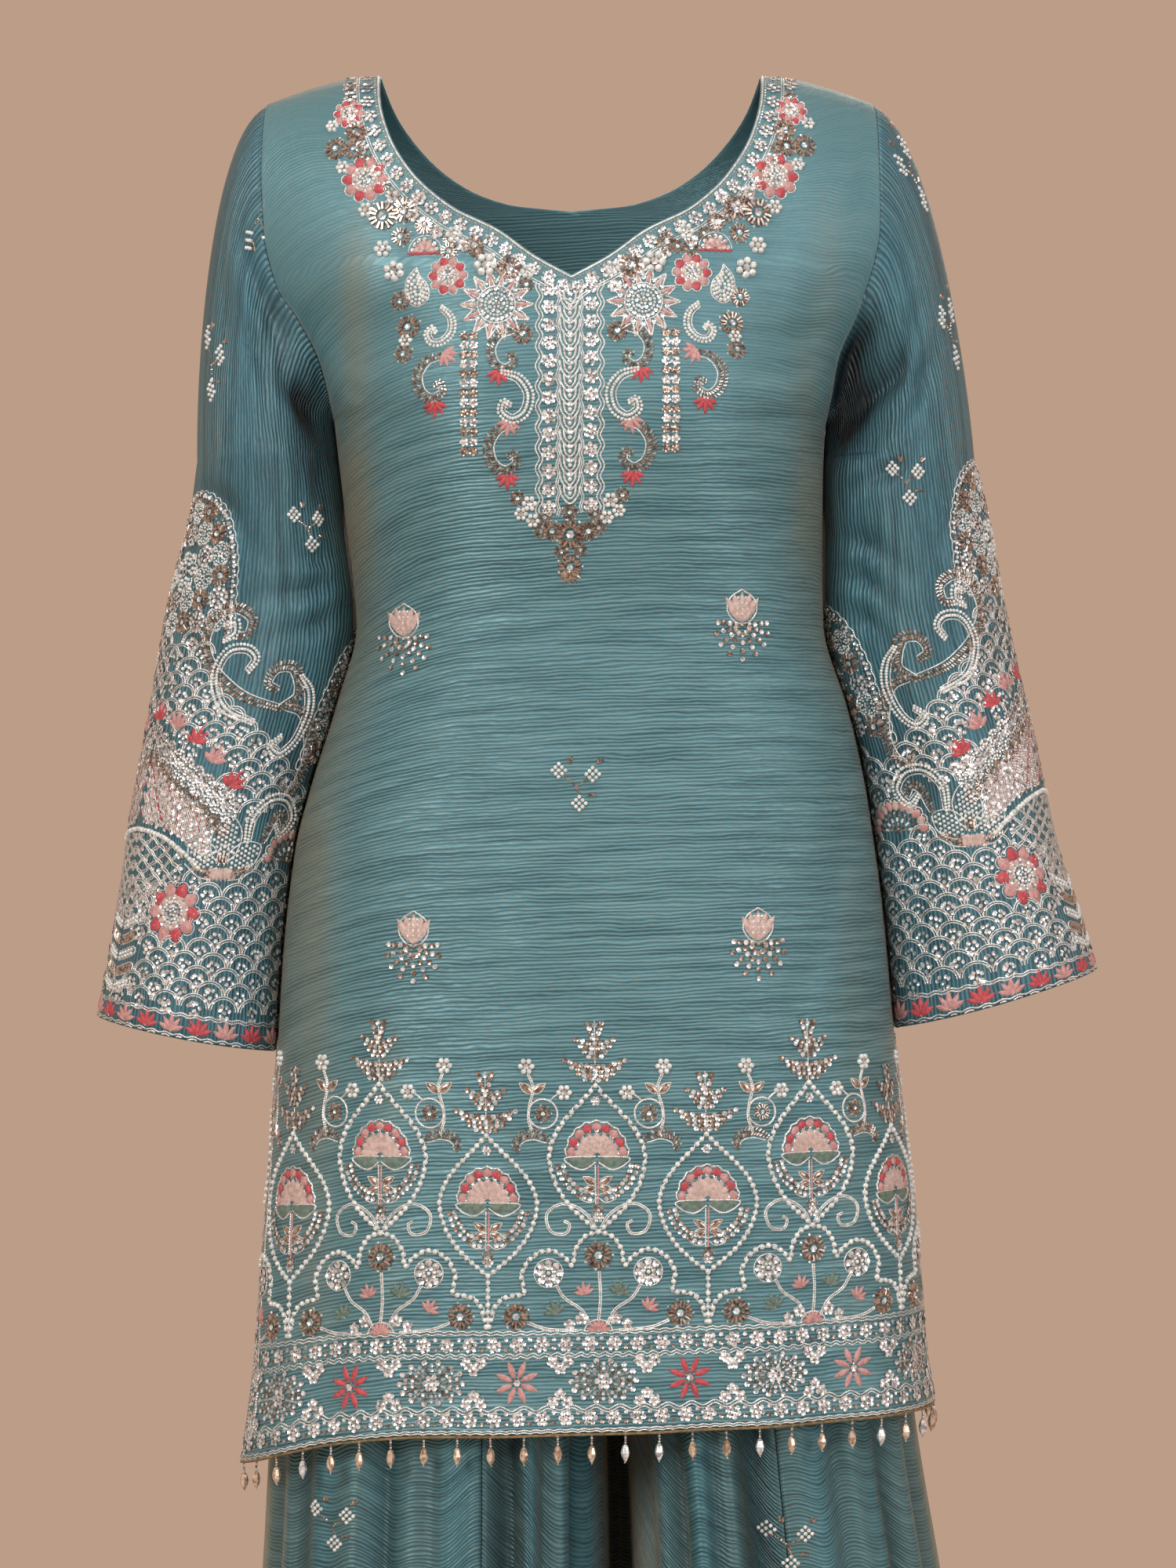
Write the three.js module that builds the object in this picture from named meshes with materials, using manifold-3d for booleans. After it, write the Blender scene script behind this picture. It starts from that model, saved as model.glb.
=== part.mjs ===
// A palazzo suit as it hangs on a wearer: a hip-length tunic with a wide sweetheart neck, bell sleeves
// and side slits, a fringe of crystal drops round its hem, and floor-length palazzo trousers under it.
// Millimetres. +Z is up, the front faces -Y, and the origin is midway between the tops of the two
// shoulder seams, where the wearer's shoulders carry the tunic. Every cloth piece is a thin wall.
import * as THREE from "three";
import Module from "manifold-3d";
import { mergeVertices } from "three/addons/utils/BufferGeometryUtils.js";

const wasm = await Module();
wasm.setup();

// Driving sizes
const CLOTH = 1.4; // wall of the crinkled silk with its backing
const SEAM = 0.35; // clearance between two pieces at a seam
const UNDERARM_Z = -215;
const NECK_POINT_Z = -135; // lowest point of the front neck
const SLIT_TOP_Z = -575;
const HEM_Z = -820; // tunic hem at the centre front
const SLIT_OPEN = 15; // how far each panel's edge stands off the side line at the hem
const SLEEVE_CLEAR = 2.4; // between a hanging sleeve and the tunic's side
const SLEEVE_TUCK = 8; // how far a sleeve's inner side runs on behind the tunic's edge, where there is room
const WAIST_Z = -338;
const WAISTBAND_LOW_Z = -386;
const LEG_TOP_Z = WAISTBAND_LOW_Z - SEAM;
const RISE_TOP_Z = -560; // where the centre seams start to turn under the body
const CROTCH_Z = -645;
const TROUSER_HEM_Z = -1345;

// Sampling
const BODY_COLUMNS = 11; // from the centre line to the side, each side
const HEAD_RINGS = 5; // rings of a sleeve between the armhole and the upper arm

function table(columns, rows) {
  const made = {};
  columns.forEach((name, i) => (made[name] = rows.map((row) => row[i])));
  return made;
}

// Smooth monotone curve through a table's column, against another column that falls or rises steadily.
function along(t, by, name) {
  const rising = t[by][0] < t[by][t[by].length - 1];
  const xs = rising ? t[by] : [...t[by]].reverse();
  const ys = rising ? t[name] : [...t[name]].reverse();
  const slope = (i) => (ys[i + 1] - ys[i]) / (xs[i + 1] - xs[i]);
  const last = xs.length - 1;
  const tangent = (i) => {
    if (i === 0) return slope(0);
    if (i === last) return slope(last - 1);
    const before = slope(i - 1);
    const after = slope(i);
    return before * after <= 0 ? 0 : (2 * before * after) / (before + after);
  };
  return (x) => {
    if (x <= xs[0]) return ys[0];
    if (x >= xs[last]) return ys[last];
    let i = 0;
    while (x > xs[i + 1]) i += 1;
    const h = xs[i + 1] - xs[i];
    const p = (x - xs[i]) / h;
    const q = 1 - p;
    return (
      ys[i] * (1 + 2 * p) * q * q +
      tangent(i) * h * p * q * q +
      ys[i + 1] * (3 - 2 * p) * p * p -
      tangent(i + 1) * h * p * p * q
    );
  };
}

const clamp01 = (v) => Math.min(1, Math.max(0, v));
const smooth = (v) => clamp01(v) ** 2 * (3 - 2 * clamp01(v));
const mix = (a, b, w) => a + (b - a) * w;
const bump = (d, width) => Math.exp(-((d / width) ** 2));

// Tunic: sections of the body, seen from the front and from the side
const BODY = table(
  ["z", "centre", "half", "front", "back"],
  [
    [0, -5, 187, 90, 80],
    [-60, -5, 188, 94, 92],
    [-100, -4, 187, 100, 101],
    [-135, -4, 179, 108, 105],
    [-155, -1, 169, 112, 106],
    [-178, 0, 158.5, 115, 105],
    [-200, 1, 154, 117, 103],
    [-215, 1, 151.5, 117.5, 101],
    [-268, 3, 147.5, 112, 93],
    [-338, 7, 144, 99, 88],
    [-389, 8, 157.5, 102, 99],
    [-437, 6, 170.5, 107, 110],
    [-476, 4, 178.5, 110, 117],
    [-529, 4, 185, 113, 121],
    [-605, 5, 191, 116, 122],
    [-709, 7, 201, 120, 125],
    [-787, 7, 207, 123, 128],
    [-825, 7, 213, 126, 131],
    [-865, 6, 216, 128, 133],
  ],
);
const bodyCentre = along(BODY, "z", "centre");
const bodyHalf = along(BODY, "z", "half");
const bodyFront = along(BODY, "z", "front");
const bodyBack = along(BODY, "z", "back");
const BODY_SQUARE = 2.45; // exponent of the rounded-oblong sections
const BUST = { x: 72, z: -212, width: 48, height: 62, depth: 9 };

// Soft troughs down the tunic's skirt, each at a distance from the middle where the half width is 200
const SKIRT_FOLDS = {
  front: table(
    ["x", "width", "depth"],
    [
      [-152, 20, 4.5],
      [-84, 24, 3.5],
      [-12, 30, 2.5],
      [66, 24, 4],
      [138, 22, 4.5],
    ],
  ),
  back: table(
    ["x", "width", "depth"],
    [
      [-140, 22, 4.5],
      [-66, 26, 4],
      [6, 28, 3],
      [78, 24, 4],
      [150, 20, 4.5],
    ],
  ),
};
const SKIRT_FOLD_TOP_Z = -430;

const SHOULDER = table(
  ["x", "z"],
  [
    [0, 0],
    [114, 0],
    [135, -1.5],
    [155, -6],
    [172, -11.5],
    [187, -17],
    [200, -23],
  ],
);
const shoulderZ = along(SHOULDER, "x", "z");
const ROUND_OVER = { front: 95, back: 72 }; // height over which a panel turns onto the shoulder
const ARMHOLE_DEPTH = { front: 50, back: 52 };
const ARMHOLE_WIDEST_Z = -95;

const FRONT_NECK = table(
  ["z", "x"],
  [
    [NECK_POINT_Z, 0],
    [-123, 21.5],
    [-106.5, 44],
    [-92.5, 71],
    [-71, 94],
    [-46, 108.5],
    [-22, 115],
    [0, 117],
  ],
);
const BACK_NECK = table(
  ["z", "x"],
  [
    [-70, 0],
    [-66, 40],
    [-53, 73],
    [-33, 97],
    [-14, 111],
    [0, 117],
  ],
);

// Rows of a panel above the underarm: heights at the inner edge, then at the armhole
const UPPER_ROWS = {
  front: table(
    ["inner", "outer"],
    [
      [-215, -215],
      [-200, -208],
      [-184, -197],
      [-167, -181],
      [-151, -160],
      [NECK_POINT_Z, -136],
      [-119, -112],
      [-104, -89],
      [-86, -67],
      [-62, -47],
      [-34, -32],
      [0, -17],
    ],
  ),
  back: table(
    ["inner", "outer"],
    [
      [-215, -215],
      [-199, -208],
      [-180, -197],
      [-158, -181],
      [-134, -160],
      [-106, -136],
      [-70, -112],
      [-66, -89],
      [-56, -67],
      [-40, -47],
      [-19, -32],
      [0, -17],
    ],
  ),
};
const NECK_ROW = { front: 5, back: 6 }; // the row that reaches the neck's lowest point
const LOWER_ROWS = [HEM_Z, -778, -730, -680, -625, SLIT_TOP_Z, -529, -480, -434, -386, -338, -292, -250];

function armholeDepth(face, z) {
  if (z <= UNDERARM_Z) return 0;
  const down = clamp01((ARMHOLE_WIDEST_Z - z) / (ARMHOLE_WIDEST_Z - UNDERARM_Z));
  return ARMHOLE_DEPTH[face] * (1 - down ** 2.4) ** (1 / 1.8);
}

function skirtFold(face, fromCentre, z) {
  const folds = SKIRT_FOLDS[face];
  const spread = bodyHalf(z) / 200;
  const grown = smooth((SKIRT_FOLD_TOP_Z - z) / 330);
  return folds.x.reduce(
    (sum, x, i) => sum + grown * folds.depth[i] * bump(fromCentre - x * spread, folds.width[i]),
    0,
  );
}

// Distance of the cloth in front of or behind the shoulder line, at a place seen from the front.
function bodyDepth(face, x, z) {
  const u = clamp01(Math.abs(x - bodyCentre(z)) / bodyHalf(z));
  const middle = face === "front" ? bodyFront(z) : bodyBack(z);
  const slit = SLIT_OPEN * clamp01((SLIT_TOP_Z - z) / (SLIT_TOP_Z - HEM_Z)) ** 1.3;
  const edge = armholeDepth(face, z) + slit;
  const open = smooth((z - UNDERARM_Z) / 55);
  const root = mix(BODY_SQUARE, 1, open);
  let depth = edge + (middle - edge) * (1 - u ** BODY_SQUARE) ** (1 / root);
  if (face === "front") {
    const off = Math.abs(x - bodyCentre(z)) - BUST.x;
    depth += BUST.depth * bump(off, BUST.width) * bump(z - BUST.z, BUST.height) * (1 - u ** 6);
  }
  depth -= skirtFold(face, x - bodyCentre(z), z) * (1 - u ** 8);
  const below = shoulderZ(Math.abs(x - bodyCentre(0))) - z;
  const turn = 1 - clamp01(below / ROUND_OVER[face]);
  return depth * (1 - turn ** 2.2) ** (1 / 1.9);
}

// Hem height, lower towards the wearer's right where the cloth drops off the hip.
function hemZ(x) {
  const drop = Math.max(0, -x - 100);
  return HEM_Z + 1 + 0.03 * x - 0.0018 * drop * drop;
}

function bodyPoint(face, side, f, innerX, innerZ, outerZ, levelZ) {
  const outerX = bodyHalf(outerZ);
  const reach = Math.sin((f * Math.PI) / 2);
  const fromCentre = side * mix(innerX, outerX, reach);
  let z = mix(innerZ, outerZ, reach);
  if (levelZ === undefined) {
    const innerBelow = shoulderZ(innerX) - innerZ;
    const outerBelow = shoulderZ(outerX) - outerZ;
    z = shoulderZ(Math.abs(fromCentre)) - mix(innerBelow, outerBelow, reach);
  } else {
    const share = clamp01((levelZ + 600) / (HEM_Z + 600));
    z = levelZ + (hemZ(fromCentre) - HEM_Z) * share;
  }
  const x = bodyCentre(z) + fromCentre;
  const away = face === "front" ? -1 : 1;
  return new THREE.Vector3(x, away * (bodyDepth(face, x, z) + SEAM / 2), z);
}

// An open surface: its points, its four-cornered cells, and the cloth's outward direction at each point.
class Surface {
  constructor() {
    this.points = [];
    this.cells = [];
    this.normals = [];
  }
  add(point) {
    this.points.push(point);
    return this.points.length - 1;
  }
  cell(a, b, c, d) {
    this.cells.push([a, b, c, d]);
  }
  face() {
    this.normals = this.points.map(() => new THREE.Vector3());
    for (const [a, b, c, d] of this.cells) {
      const p = [a, b, c, d].map((i) => this.points[i]);
      const normal = new THREE.Vector3()
        .subVectors(p[2], p[0])
        .cross(new THREE.Vector3().subVectors(p[3], p[1]));
      [a, b, c, d].forEach((i) => this.normals[i].add(normal));
    }
    this.normals.forEach((n) => n.normalize());
  }
  // The wall: these points, the same points moved in by the cloth's thickness, and the edges between.
  wall(thickness) {
    const count = this.points.length;
    const inner = this.points.map((p, i) => p.clone().addScaledVector(this.normals[i], -thickness));
    const index = [];
    const edges = new Map();
    for (const corners of this.cells) {
      const [a, b, c, d] = corners;
      index.push(a, b, c, a, c, d);
      index.push(count + a, count + c, count + b, count + a, count + d, count + c);
      corners.forEach((p, k) => {
        const q = corners[(k + 1) % 4];
        if (edges.has(`${q},${p}`)) edges.delete(`${q},${p}`);
        else edges.set(`${p},${q}`, [p, q]);
      });
    }
    for (const [p, q] of edges.values()) index.push(q, p, count + p, q, count + p, count + q);
    const geometry = new THREE.BufferGeometry().setFromPoints([...this.points, ...inner]);
    geometry.setIndex(index);
    return geometry;
  }
}

// Front or back of the tunic. Rows run from the hem to the shoulder seam, columns from the wearer's
// right side to the left, and above the neck's lowest point each row is in two halves.
function bodyPanel(face) {
  const surface = new Surface();
  const upper = UPPER_ROWS[face];
  const neck = along(face === "front" ? FRONT_NECK : BACK_NECK, "z", "x");
  const rows = LOWER_ROWS.map((z) => ({ innerX: 0, inner: z, outer: z, level: z }));
  upper.inner.forEach((z, i) =>
    rows.push({ innerX: i > NECK_ROW[face] ? neck(z) : 0, inner: z, outer: upper.outer[i] }),
  );
  const split = LOWER_ROWS.length + NECK_ROW[face];
  const ids = { "-1": [], 1: [] };
  const edge = { "-1": [], 1: [] };
  rows.forEach((row, k) => {
    for (const side of [-1, 1]) {
      ids[side].push([]);
      for (let j = 0; j <= BODY_COLUMNS; j += 1) {
        if (side === 1 && j === 0 && k <= split) {
          ids[1][k].push(ids[-1][k][0]);
          continue;
        }
        const f = j / BODY_COLUMNS;
        const p = bodyPoint(face, side, f, row.innerX, row.inner, row.outer, row.level);
        ids[side][k].push(surface.add(p));
      }
      if (k >= LOWER_ROWS.length) edge[side].push(ids[side][k][BODY_COLUMNS]);
    }
  });
  const outward = face === "front" ? 1 : -1;
  for (const side of [-1, 1]) {
    for (let k = 0; k + 1 < rows.length; k += 1) {
      for (let j = 0; j < BODY_COLUMNS; j += 1) {
        const [low, high] = [ids[side][k], ids[side][k + 1]];
        if (side * outward > 0) surface.cell(low[j], low[j + 1], high[j + 1], high[j]);
        else surface.cell(low[j], high[j], high[j + 1], low[j + 1]);
      }
    }
  }
  surface.face();
  // On the side and shoulder seams the cloth's direction lies in the seam's plane.
  const level = (i) => surface.normals[i].setY(0).normalize();
  for (const side of [-1, 1]) {
    ids[side].slice(5, LOWER_ROWS.length + 1).forEach((row) => level(row[BODY_COLUMNS]));
    ids[side][rows.length - 1].forEach(level);
  }
  const armhole = (side) =>
    edge[side].map((i) => ({ point: surface.points[i], normal: surface.normals[i] }));
  // A whole row below the underarm, from the wearer's right side seam to the left.
  const rowAt = (z) => {
    const k = LOWER_ROWS.indexOf(z);
    const row = [...ids[-1][k]].reverse().concat(ids[1][k].slice(1));
    return row.map((i) => ({ point: surface.points[i], normal: surface.normals[i] }));
  };
  return { surface, armhole, rowAt };
}

// Sleeves: the silhouette's outer and inner points on each ring, then the ring's middle and half depth
const SLEEVES = {
  "-1": table(
    ["outerX", "outerZ", "innerX", "innerZ", "middleY", "depth"],
    [
      [-236, -238, -154, -238, 4, 60],
      [-241, -272, -148, -270, 7, 60],
      [-254, -322, -141, -318, 11, 60],
      [-263, -372, -146, -365, 13, 61],
      [-270, -412, -158, -405, 12, 61],
      [-277, -450, -170, -448, 11, 61],
      [-282, -488, -180, -492, 10, 62],
      [-288, -526, -186, -535, 9, 62],
      [-298, -580, -190, -602, 8, 63],
    ],
  ),
  1: table(
    ["outerX", "outerZ", "innerX", "innerZ", "middleY", "depth"],
    [
      [245, -238, 157, -236, 4, 59],
      [253, -269, 154, -268, 7, 60],
      [263, -320, 154, -322, 11, 61],
      [272, -362, 161, -366, 13, 61],
      [281, -400, 173, -405, 12, 61],
      [289, -440, 183, -447, 11, 61],
      [298, -479, 188, -490, 10, 62],
      [310, -515, 193, -532, 9, 62],
      [321, -551, 198, -588, 8, 63],
    ],
  ),
};
const ARMHOLE_CENTRE = { x: 205, z: -105 };
const ARM_SLOPE = -0.45; // how steeply the sleeve leaves the shoulder
const HEAD_TURN = { leave: 0.5, arrive: 0.85 }; // strength of each end's direction, by distance
// The deep pocket at the front of the wearer's left underarm, where the sleeve folds back.
const UNDERARM_FOLD = { x: 176, z: -196, width: 17, height: 34, depth: 20 };

// Half width of the tunic at a depth from the side line, for the sleeves to hang clear of.
function tunicHalf(y, z) {
  const middle = y < 0 ? bodyFront(z) : bodyBack(z);
  const v = clamp01(Math.abs(y) / middle);
  return bodyHalf(z) * (1 - v ** BODY_SQUARE) ** (1 / BODY_SQUARE);
}

function clearOfTunic(point, side) {
  if (point.z > UNDERARM_Z) return point;
  const clear = mix(SEAM, SLEEVE_CLEAR, clamp01((UNDERARM_Z - point.z) / 25));
  const nearest = bodyCentre(point.z) + side * (tunicHalf(point.y, point.z) + clear);
  if (side * point.x < side * nearest) point.setX(nearest);
  return point;
}

function sleeve(side, front, back) {
  const rings = SLEEVES[side];
  const surface = new Surface();
  const loop = [...front.armhole(side)];
  loop.push(...back.armhole(side).slice(1, -1).reverse());
  const count = loop.length;
  const tip = (count + 2) / 2 - 1; // the loop's point on the shoulder seam
  const hole = new THREE.Vector3(side * ARMHOLE_CENTRE.x, 0, ARMHOLE_CENTRE.z);
  // Each column starts on the armhole, just clear of the panel's edge in the cloth's own plane.
  const starts = loop.map(({ point, normal }, i) => {
    const seam = i === 0 || i === tip;
    const p = seam ? point.clone().setY(0) : point.clone();
    const tangent = new THREE.Vector3().subVectors(loop[(i + 1) % count].point, loop[(i + count - 1) % count].point);
    const away = tangent.cross(normal).normalize();
    if (away.dot(new THREE.Vector3().subVectors(hole, p)) < 0) away.negate();
    return { point: p.addScaledVector(away, seam ? SEAM + 0.25 : SEAM + 0.1), normal };
  });
  // Where a column lies round the ring: 0 at the outer silhouette, then the front, the inner side, the back.
  const angles = starts.map((_, i) => {
    const share = i <= tip ? (tip - i) / tip : -(i - tip) / (count - tip);
    return share * Math.PI;
  });
  const ringPoint = (k, angle) => {
    const c = Math.cos(angle);
    const s = Math.sin(angle);
    const tuck = SLEEVE_TUCK * Math.min(1, k / 2) * Math.min(0, c) ** 2;
    const x = mix(rings.innerX[k], rings.outerX[k], (1 + c) / 2) - side * tuck;
    const z = mix(rings.innerZ[k], rings.outerZ[k], (1 + c) / 2);
    return new THREE.Vector3(x, rings.middleY[k] - rings.depth[k] * s, z);
  };
  const axis = new THREE.Vector3(
    (rings.outerX[1] + rings.innerX[1] - rings.outerX[0] - rings.innerX[0]) / 2,
    0,
    (rings.outerZ[1] + rings.innerZ[1] - rings.outerZ[0] - rings.innerZ[0]) / 2,
  ).normalize();
  const pocket = (p) => {
    if (side < 0 || p.y > 0) return p;
    const d = bump(p.x - UNDERARM_FOLD.x, UNDERARM_FOLD.width) * bump(p.z - UNDERARM_FOLD.z, UNDERARM_FOLD.height);
    return p.setY(p.y + UNDERARM_FOLD.depth * d);
  };
  const ids = [starts.map(({ point }) => surface.add(point))];
  for (let r = 1; r < HEAD_RINGS; r += 1) {
    const q = r / HEAD_RINGS;
    ids.push(
      starts.map(({ point }, i) => {
        const end = ringPoint(0, angles[i]);
        const far = point.distanceTo(end);
        const bow = 0.3 * Math.sin(angles[i]);
        const leave = new THREE.Vector3(side, bow, ARM_SLOPE).normalize().multiplyScalar(HEAD_TURN.leave * far);
        const arrive = axis.clone().multiplyScalar(HEAD_TURN.arrive * far);
        const p = new THREE.Vector3()
          .addScaledVector(point, (1 + 2 * q) * (1 - q) ** 2)
          .addScaledVector(leave, q * (1 - q) ** 2)
          .addScaledVector(end, (3 - 2 * q) * q * q)
          .addScaledVector(arrive, -q * q * (1 - q));
        return surface.add(clearOfTunic(pocket(p), side));
      }),
    );
  }
  rings.outerX.forEach((_, k) =>
    ids.push(angles.map((angle) => surface.add(clearOfTunic(pocket(ringPoint(k, angle)), side)))),
  );
  for (let r = 0; r + 1 < ids.length; r += 1) {
    for (let i = 0; i < count; i += 1) {
      const n = (i + 1) % count;
      if (side < 0) surface.cell(ids[r][i], ids[r][n], ids[r + 1][n], ids[r + 1][i]);
      else surface.cell(ids[r][i], ids[r + 1][i], ids[r + 1][n], ids[r][n]);
    }
  }
  surface.face();
  starts.forEach(({ normal }, i) => surface.normals[ids[0][i]].copy(normal));
  return surface;
}

// Trousers: the outline's sections, then the line between the legs and half the gap there
const TROUSERS = table(
  ["z", "centre", "half", "front", "back", "split", "gap"],
  [
    [LEG_TOP_Z, 8, 154.5, 99.4, 96.2, 8, 0.2],
    [-437, 6, 163, 101, 104, 6, 0.3],
    [-476, 4, 170, 103, 110, 5, 0.3],
    [-529, 4, 176, 105, 113, 5, 0.3],
    [-605, 5, 181, 107, 114, 7, 0.4],
    [-709, 7, 189, 110, 116, 12, 3],
    [-787, 8, 195, 112, 118, 19, 5],
    [-830, 9, 199, 113, 119, 23, 6],
    [-920, 14, 209, 117, 123, 26, 7],
    [-1040, 19, 224, 123, 130, 28, 9],
    [-1190, 23, 244, 132, 140, 29, 11],
    [TROUSER_HEM_Z, 25, 266, 142, 150, 30, 13],
  ],
);
const trouser = Object.fromEntries(
  ["centre", "half", "front", "back", "split", "gap"].map((n) => [n, along(TROUSERS, "z", n)]),
);
const INNER_TURN = 58; // how far from the inner leg its front and back begin to turn towards each other
const LEGS_MEET = { at: 0.45, reach: 0.3, apart: 0.3 }; // where the backs touch, by share of their depth
const LEG_ROWS = [LEG_TOP_Z, -437, -500, RISE_TOP_Z, -603, CROTCH_Z, -710, -800, -930, -1110, TROUSER_HEM_Z];
const FOLD_START_Z = -640;

// Folds of each front, at a share of the way from the side seam to the inner leg. Depth is inwards.
const FOLDS = {
  "-1": table(
    ["at", "width", "depth"],
    [
      [0.12, 0.035, 5],
      [0.225, 0.03, 7],
      [0.405, 0.03, 9],
      [0.5, 0.022, 4],
      [0.64, 0.04, 17],
      [0.725, 0.022, 7],
      [0.83, 0.03, 8],
    ],
  ),
  1: table(
    ["at", "width", "depth"],
    [
      [0.12, 0.03, 5],
      [0.24, 0.03, 9],
      [0.37, 0.026, 6],
      [0.55, 0.04, 17],
      [0.65, 0.022, 7],
      [0.75, 0.03, 9],
      [0.86, 0.03, 6],
    ],
  ),
};
const BACK_FOLDS = table(
  ["at", "width", "depth"],
  [
    [0.14, 0.035, 6],
    [0.28, 0.035, 9],
    [0.43, 0.035, 10],
    [0.58, 0.035, 9],
    [0.72, 0.035, 10],
    [0.86, 0.03, 6],
  ],
);
const FRONT_SEAM = { "-1": 0.59, 1: 0.5 }; // where a front's outer and inner panels are joined

// A place on a trouser leg's outline before folding: f runs from the side seam to the inner leg, where
// above the crotch the two legs' fronts meet, and below it the front and back turn in to each other.
function legOutline(side, face, f, z) {
  const centre = trouser.centre(z);
  const outer = centre + side * trouser.half(z);
  const inner = trouser.split(z) + side * trouser.gap(z);
  const closed = smooth((RISE_TOP_Z - z) / (RISE_TOP_Z - CROTCH_Z));
  const open = 1 - Math.cos((f * Math.PI) / 2);
  const x = mix(outer, inner, mix(open, (1 - Math.cos(f * Math.PI)) / 2, closed));
  const u = clamp01(Math.abs(x - centre) / trouser.half(z));
  const toInner = clamp01(Math.abs(x - inner) / INNER_TURN);
  const turn = mix(1, (1 - (1 - toInner) ** 2.3) ** (1 / 2.3), closed);
  const depth = trouser[face](z) * (1 - u ** BODY_SQUARE) ** (1 / BODY_SQUARE) * turn;
  if (face === "front") return new THREE.Vector3(x, -depth - SEAM / 2, z);
  // Behind the inner seam the backs of the two legs hang together and close the gap between the fronts.
  const level = (depth / trouser.back(z) - LEGS_MEET.at) / LEGS_MEET.reach;
  const near = closed * clamp01(1 - level * level) ** 2 * smooth((f - 0.6) / 0.2);
  return new THREE.Vector3(mix(x, trouser.split(z) + side * LEGS_MEET.apart, near), depth + SEAM / 2, z);
}

function foldDepth(folds, f, z) {
  const grown = smooth((FOLD_START_Z - z) / 260) * (1 + 0.7 * clamp01((-900 - z) / 445));
  const spread = 1 + 0.15 * clamp01((-900 - z) / 445);
  return folds.at.reduce(
    (sum, at, i) => sum + grown * folds.depth[i] * bump(f - at, folds.width[i] * spread),
    0,
  );
}

function legPoint(side, face, f, z) {
  const p = legOutline(side, face, f, z);
  const step = 0.004;
  const before = legOutline(side, face, Math.max(0, f - step), z);
  const after = legOutline(side, face, Math.min(1, f + step), z);
  const way = new THREE.Vector3().subVectors(after, before).normalize();
  const turn = face === "front" ? side : -side;
  const inward = new THREE.Vector3(turn * way.y, -turn * way.x, 0);
  const folds = face === "front" ? FOLDS[side] : BACK_FOLDS;
  const hold = smooth(f / 0.06) * smooth((1 - f) / 0.06);
  return p.addScaledVector(inward, foldDepth(folds, f, z) * hold);
}

// Shares of the way round at which a panel's columns run: its two edges, and at and beside each fold.
function legColumns(folds, from, to) {
  const beside = 1.5;
  const inside = (f) => f > from + 0.012 && f < to - 0.012;
  const shares = folds.at.flatMap((at, i) => [-beside, 0, beside].map((n) => at + n * folds.width[i]));
  return [from, ...shares.filter(inside).sort((a, b) => a - b), to];
}

// One trouser panel between two shares of the way round, with the seam's clearance at a panel seam.
function legPanel(side, face, from, to) {
  const surface = new Surface();
  const columns = legColumns(face === "front" ? FOLDS[side] : BACK_FOLDS, from, to);
  const last = columns.length - 1;
  const ids = LEG_ROWS.map((z) => {
    const step = 0.01;
    const shift = (f) => {
      const run = legPoint(side, face, f - step, z).distanceTo(legPoint(side, face, f + step, z));
      return ((SEAM / 2) * 2 * step) / run;
    };
    return columns.map((f, j) => {
      let share = f;
      if (j === 0 && from > 0) share += shift(f);
      if (j === last && to < 1) share -= shift(f);
      return surface.add(legPoint(side, face, share, z));
    });
  });
  const turn = face === "front" ? side : -side;
  for (let k = 0; k + 1 < ids.length; k += 1) {
    for (let j = 0; j < last; j += 1) {
      if (turn < 0) surface.cell(ids[k][j], ids[k + 1][j], ids[k + 1][j + 1], ids[k][j + 1]);
      else surface.cell(ids[k][j], ids[k][j + 1], ids[k + 1][j + 1], ids[k + 1][j]);
    }
  }
  surface.face();
  // Along the side seam, centre seam and inner seam the cloth's direction lies in the seam's plane.
  ids.forEach((row, k) => {
    if (from === 0) surface.normals[row[0]].setY(0).normalize();
    if (to < 1) return;
    const n = surface.normals[row[last]];
    if (LEG_ROWS[k] >= RISE_TOP_Z) n.setX(0);
    else if (LEG_ROWS[k] <= CROTCH_Z) n.setY(0);
    else if (n.x * side > 0) n.setX(0);
    n.normalize();
  });
  return { surface, first: ids.map((row) => row[0]), last: ids.map((row) => row[last]) };
}

// The two front panels of a leg, whose edges at the seam between them face the same way.
function legFronts(side) {
  const outer = legPanel(side, "front", 0, FRONT_SEAM[side]);
  const inner = legPanel(side, "front", FRONT_SEAM[side], 1);
  LEG_ROWS.forEach((_, k) => {
    const a = outer.surface.normals[outer.last[k]];
    const b = inner.surface.normals[inner.first[k]];
    a.add(b).normalize();
    b.copy(a);
  });
  return { outer: outer.surface, inner: inner.surface };
}

// The waistband: a closed ring just inside the tunic's waist, made from the tunic's own points moved in.
function waistband(front, back) {
  const surface = new Surface();
  const ids = [WAISTBAND_LOW_Z, WAIST_Z].map((z) => {
    const ring = [...front.rowAt(z), ...back.rowAt(z).slice(1, -1).reverse()];
    return ring.map(({ point, normal }) => {
      const level = normal.clone().setZ(0).normalize();
      return surface.add(point.clone().setZ(z).addScaledVector(level, -CLOTH - SEAM - 0.15));
    });
  });
  const count = ids[0].length;
  for (let i = 0; i < count; i += 1) {
    const n = (i + 1) % count;
    surface.cell(ids[0][i], ids[0][n], ids[1][n], ids[1][i]);
  }
  surface.face();
  surface.normals.forEach((normal) => normal.setZ(0).normalize());
  return surface;
}

// Crystal drops: each hangs from the hem on a short string of seed beads, as one four-sided strand
const DROP = { count: 26, string: 6.5, stringHalf: 0.6, widest: 2.9, widestAt: 12.8, end: 18.6 };
const STRIP = { height: 1.6, gap: 0.55, strandIn: 0.9 };

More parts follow.
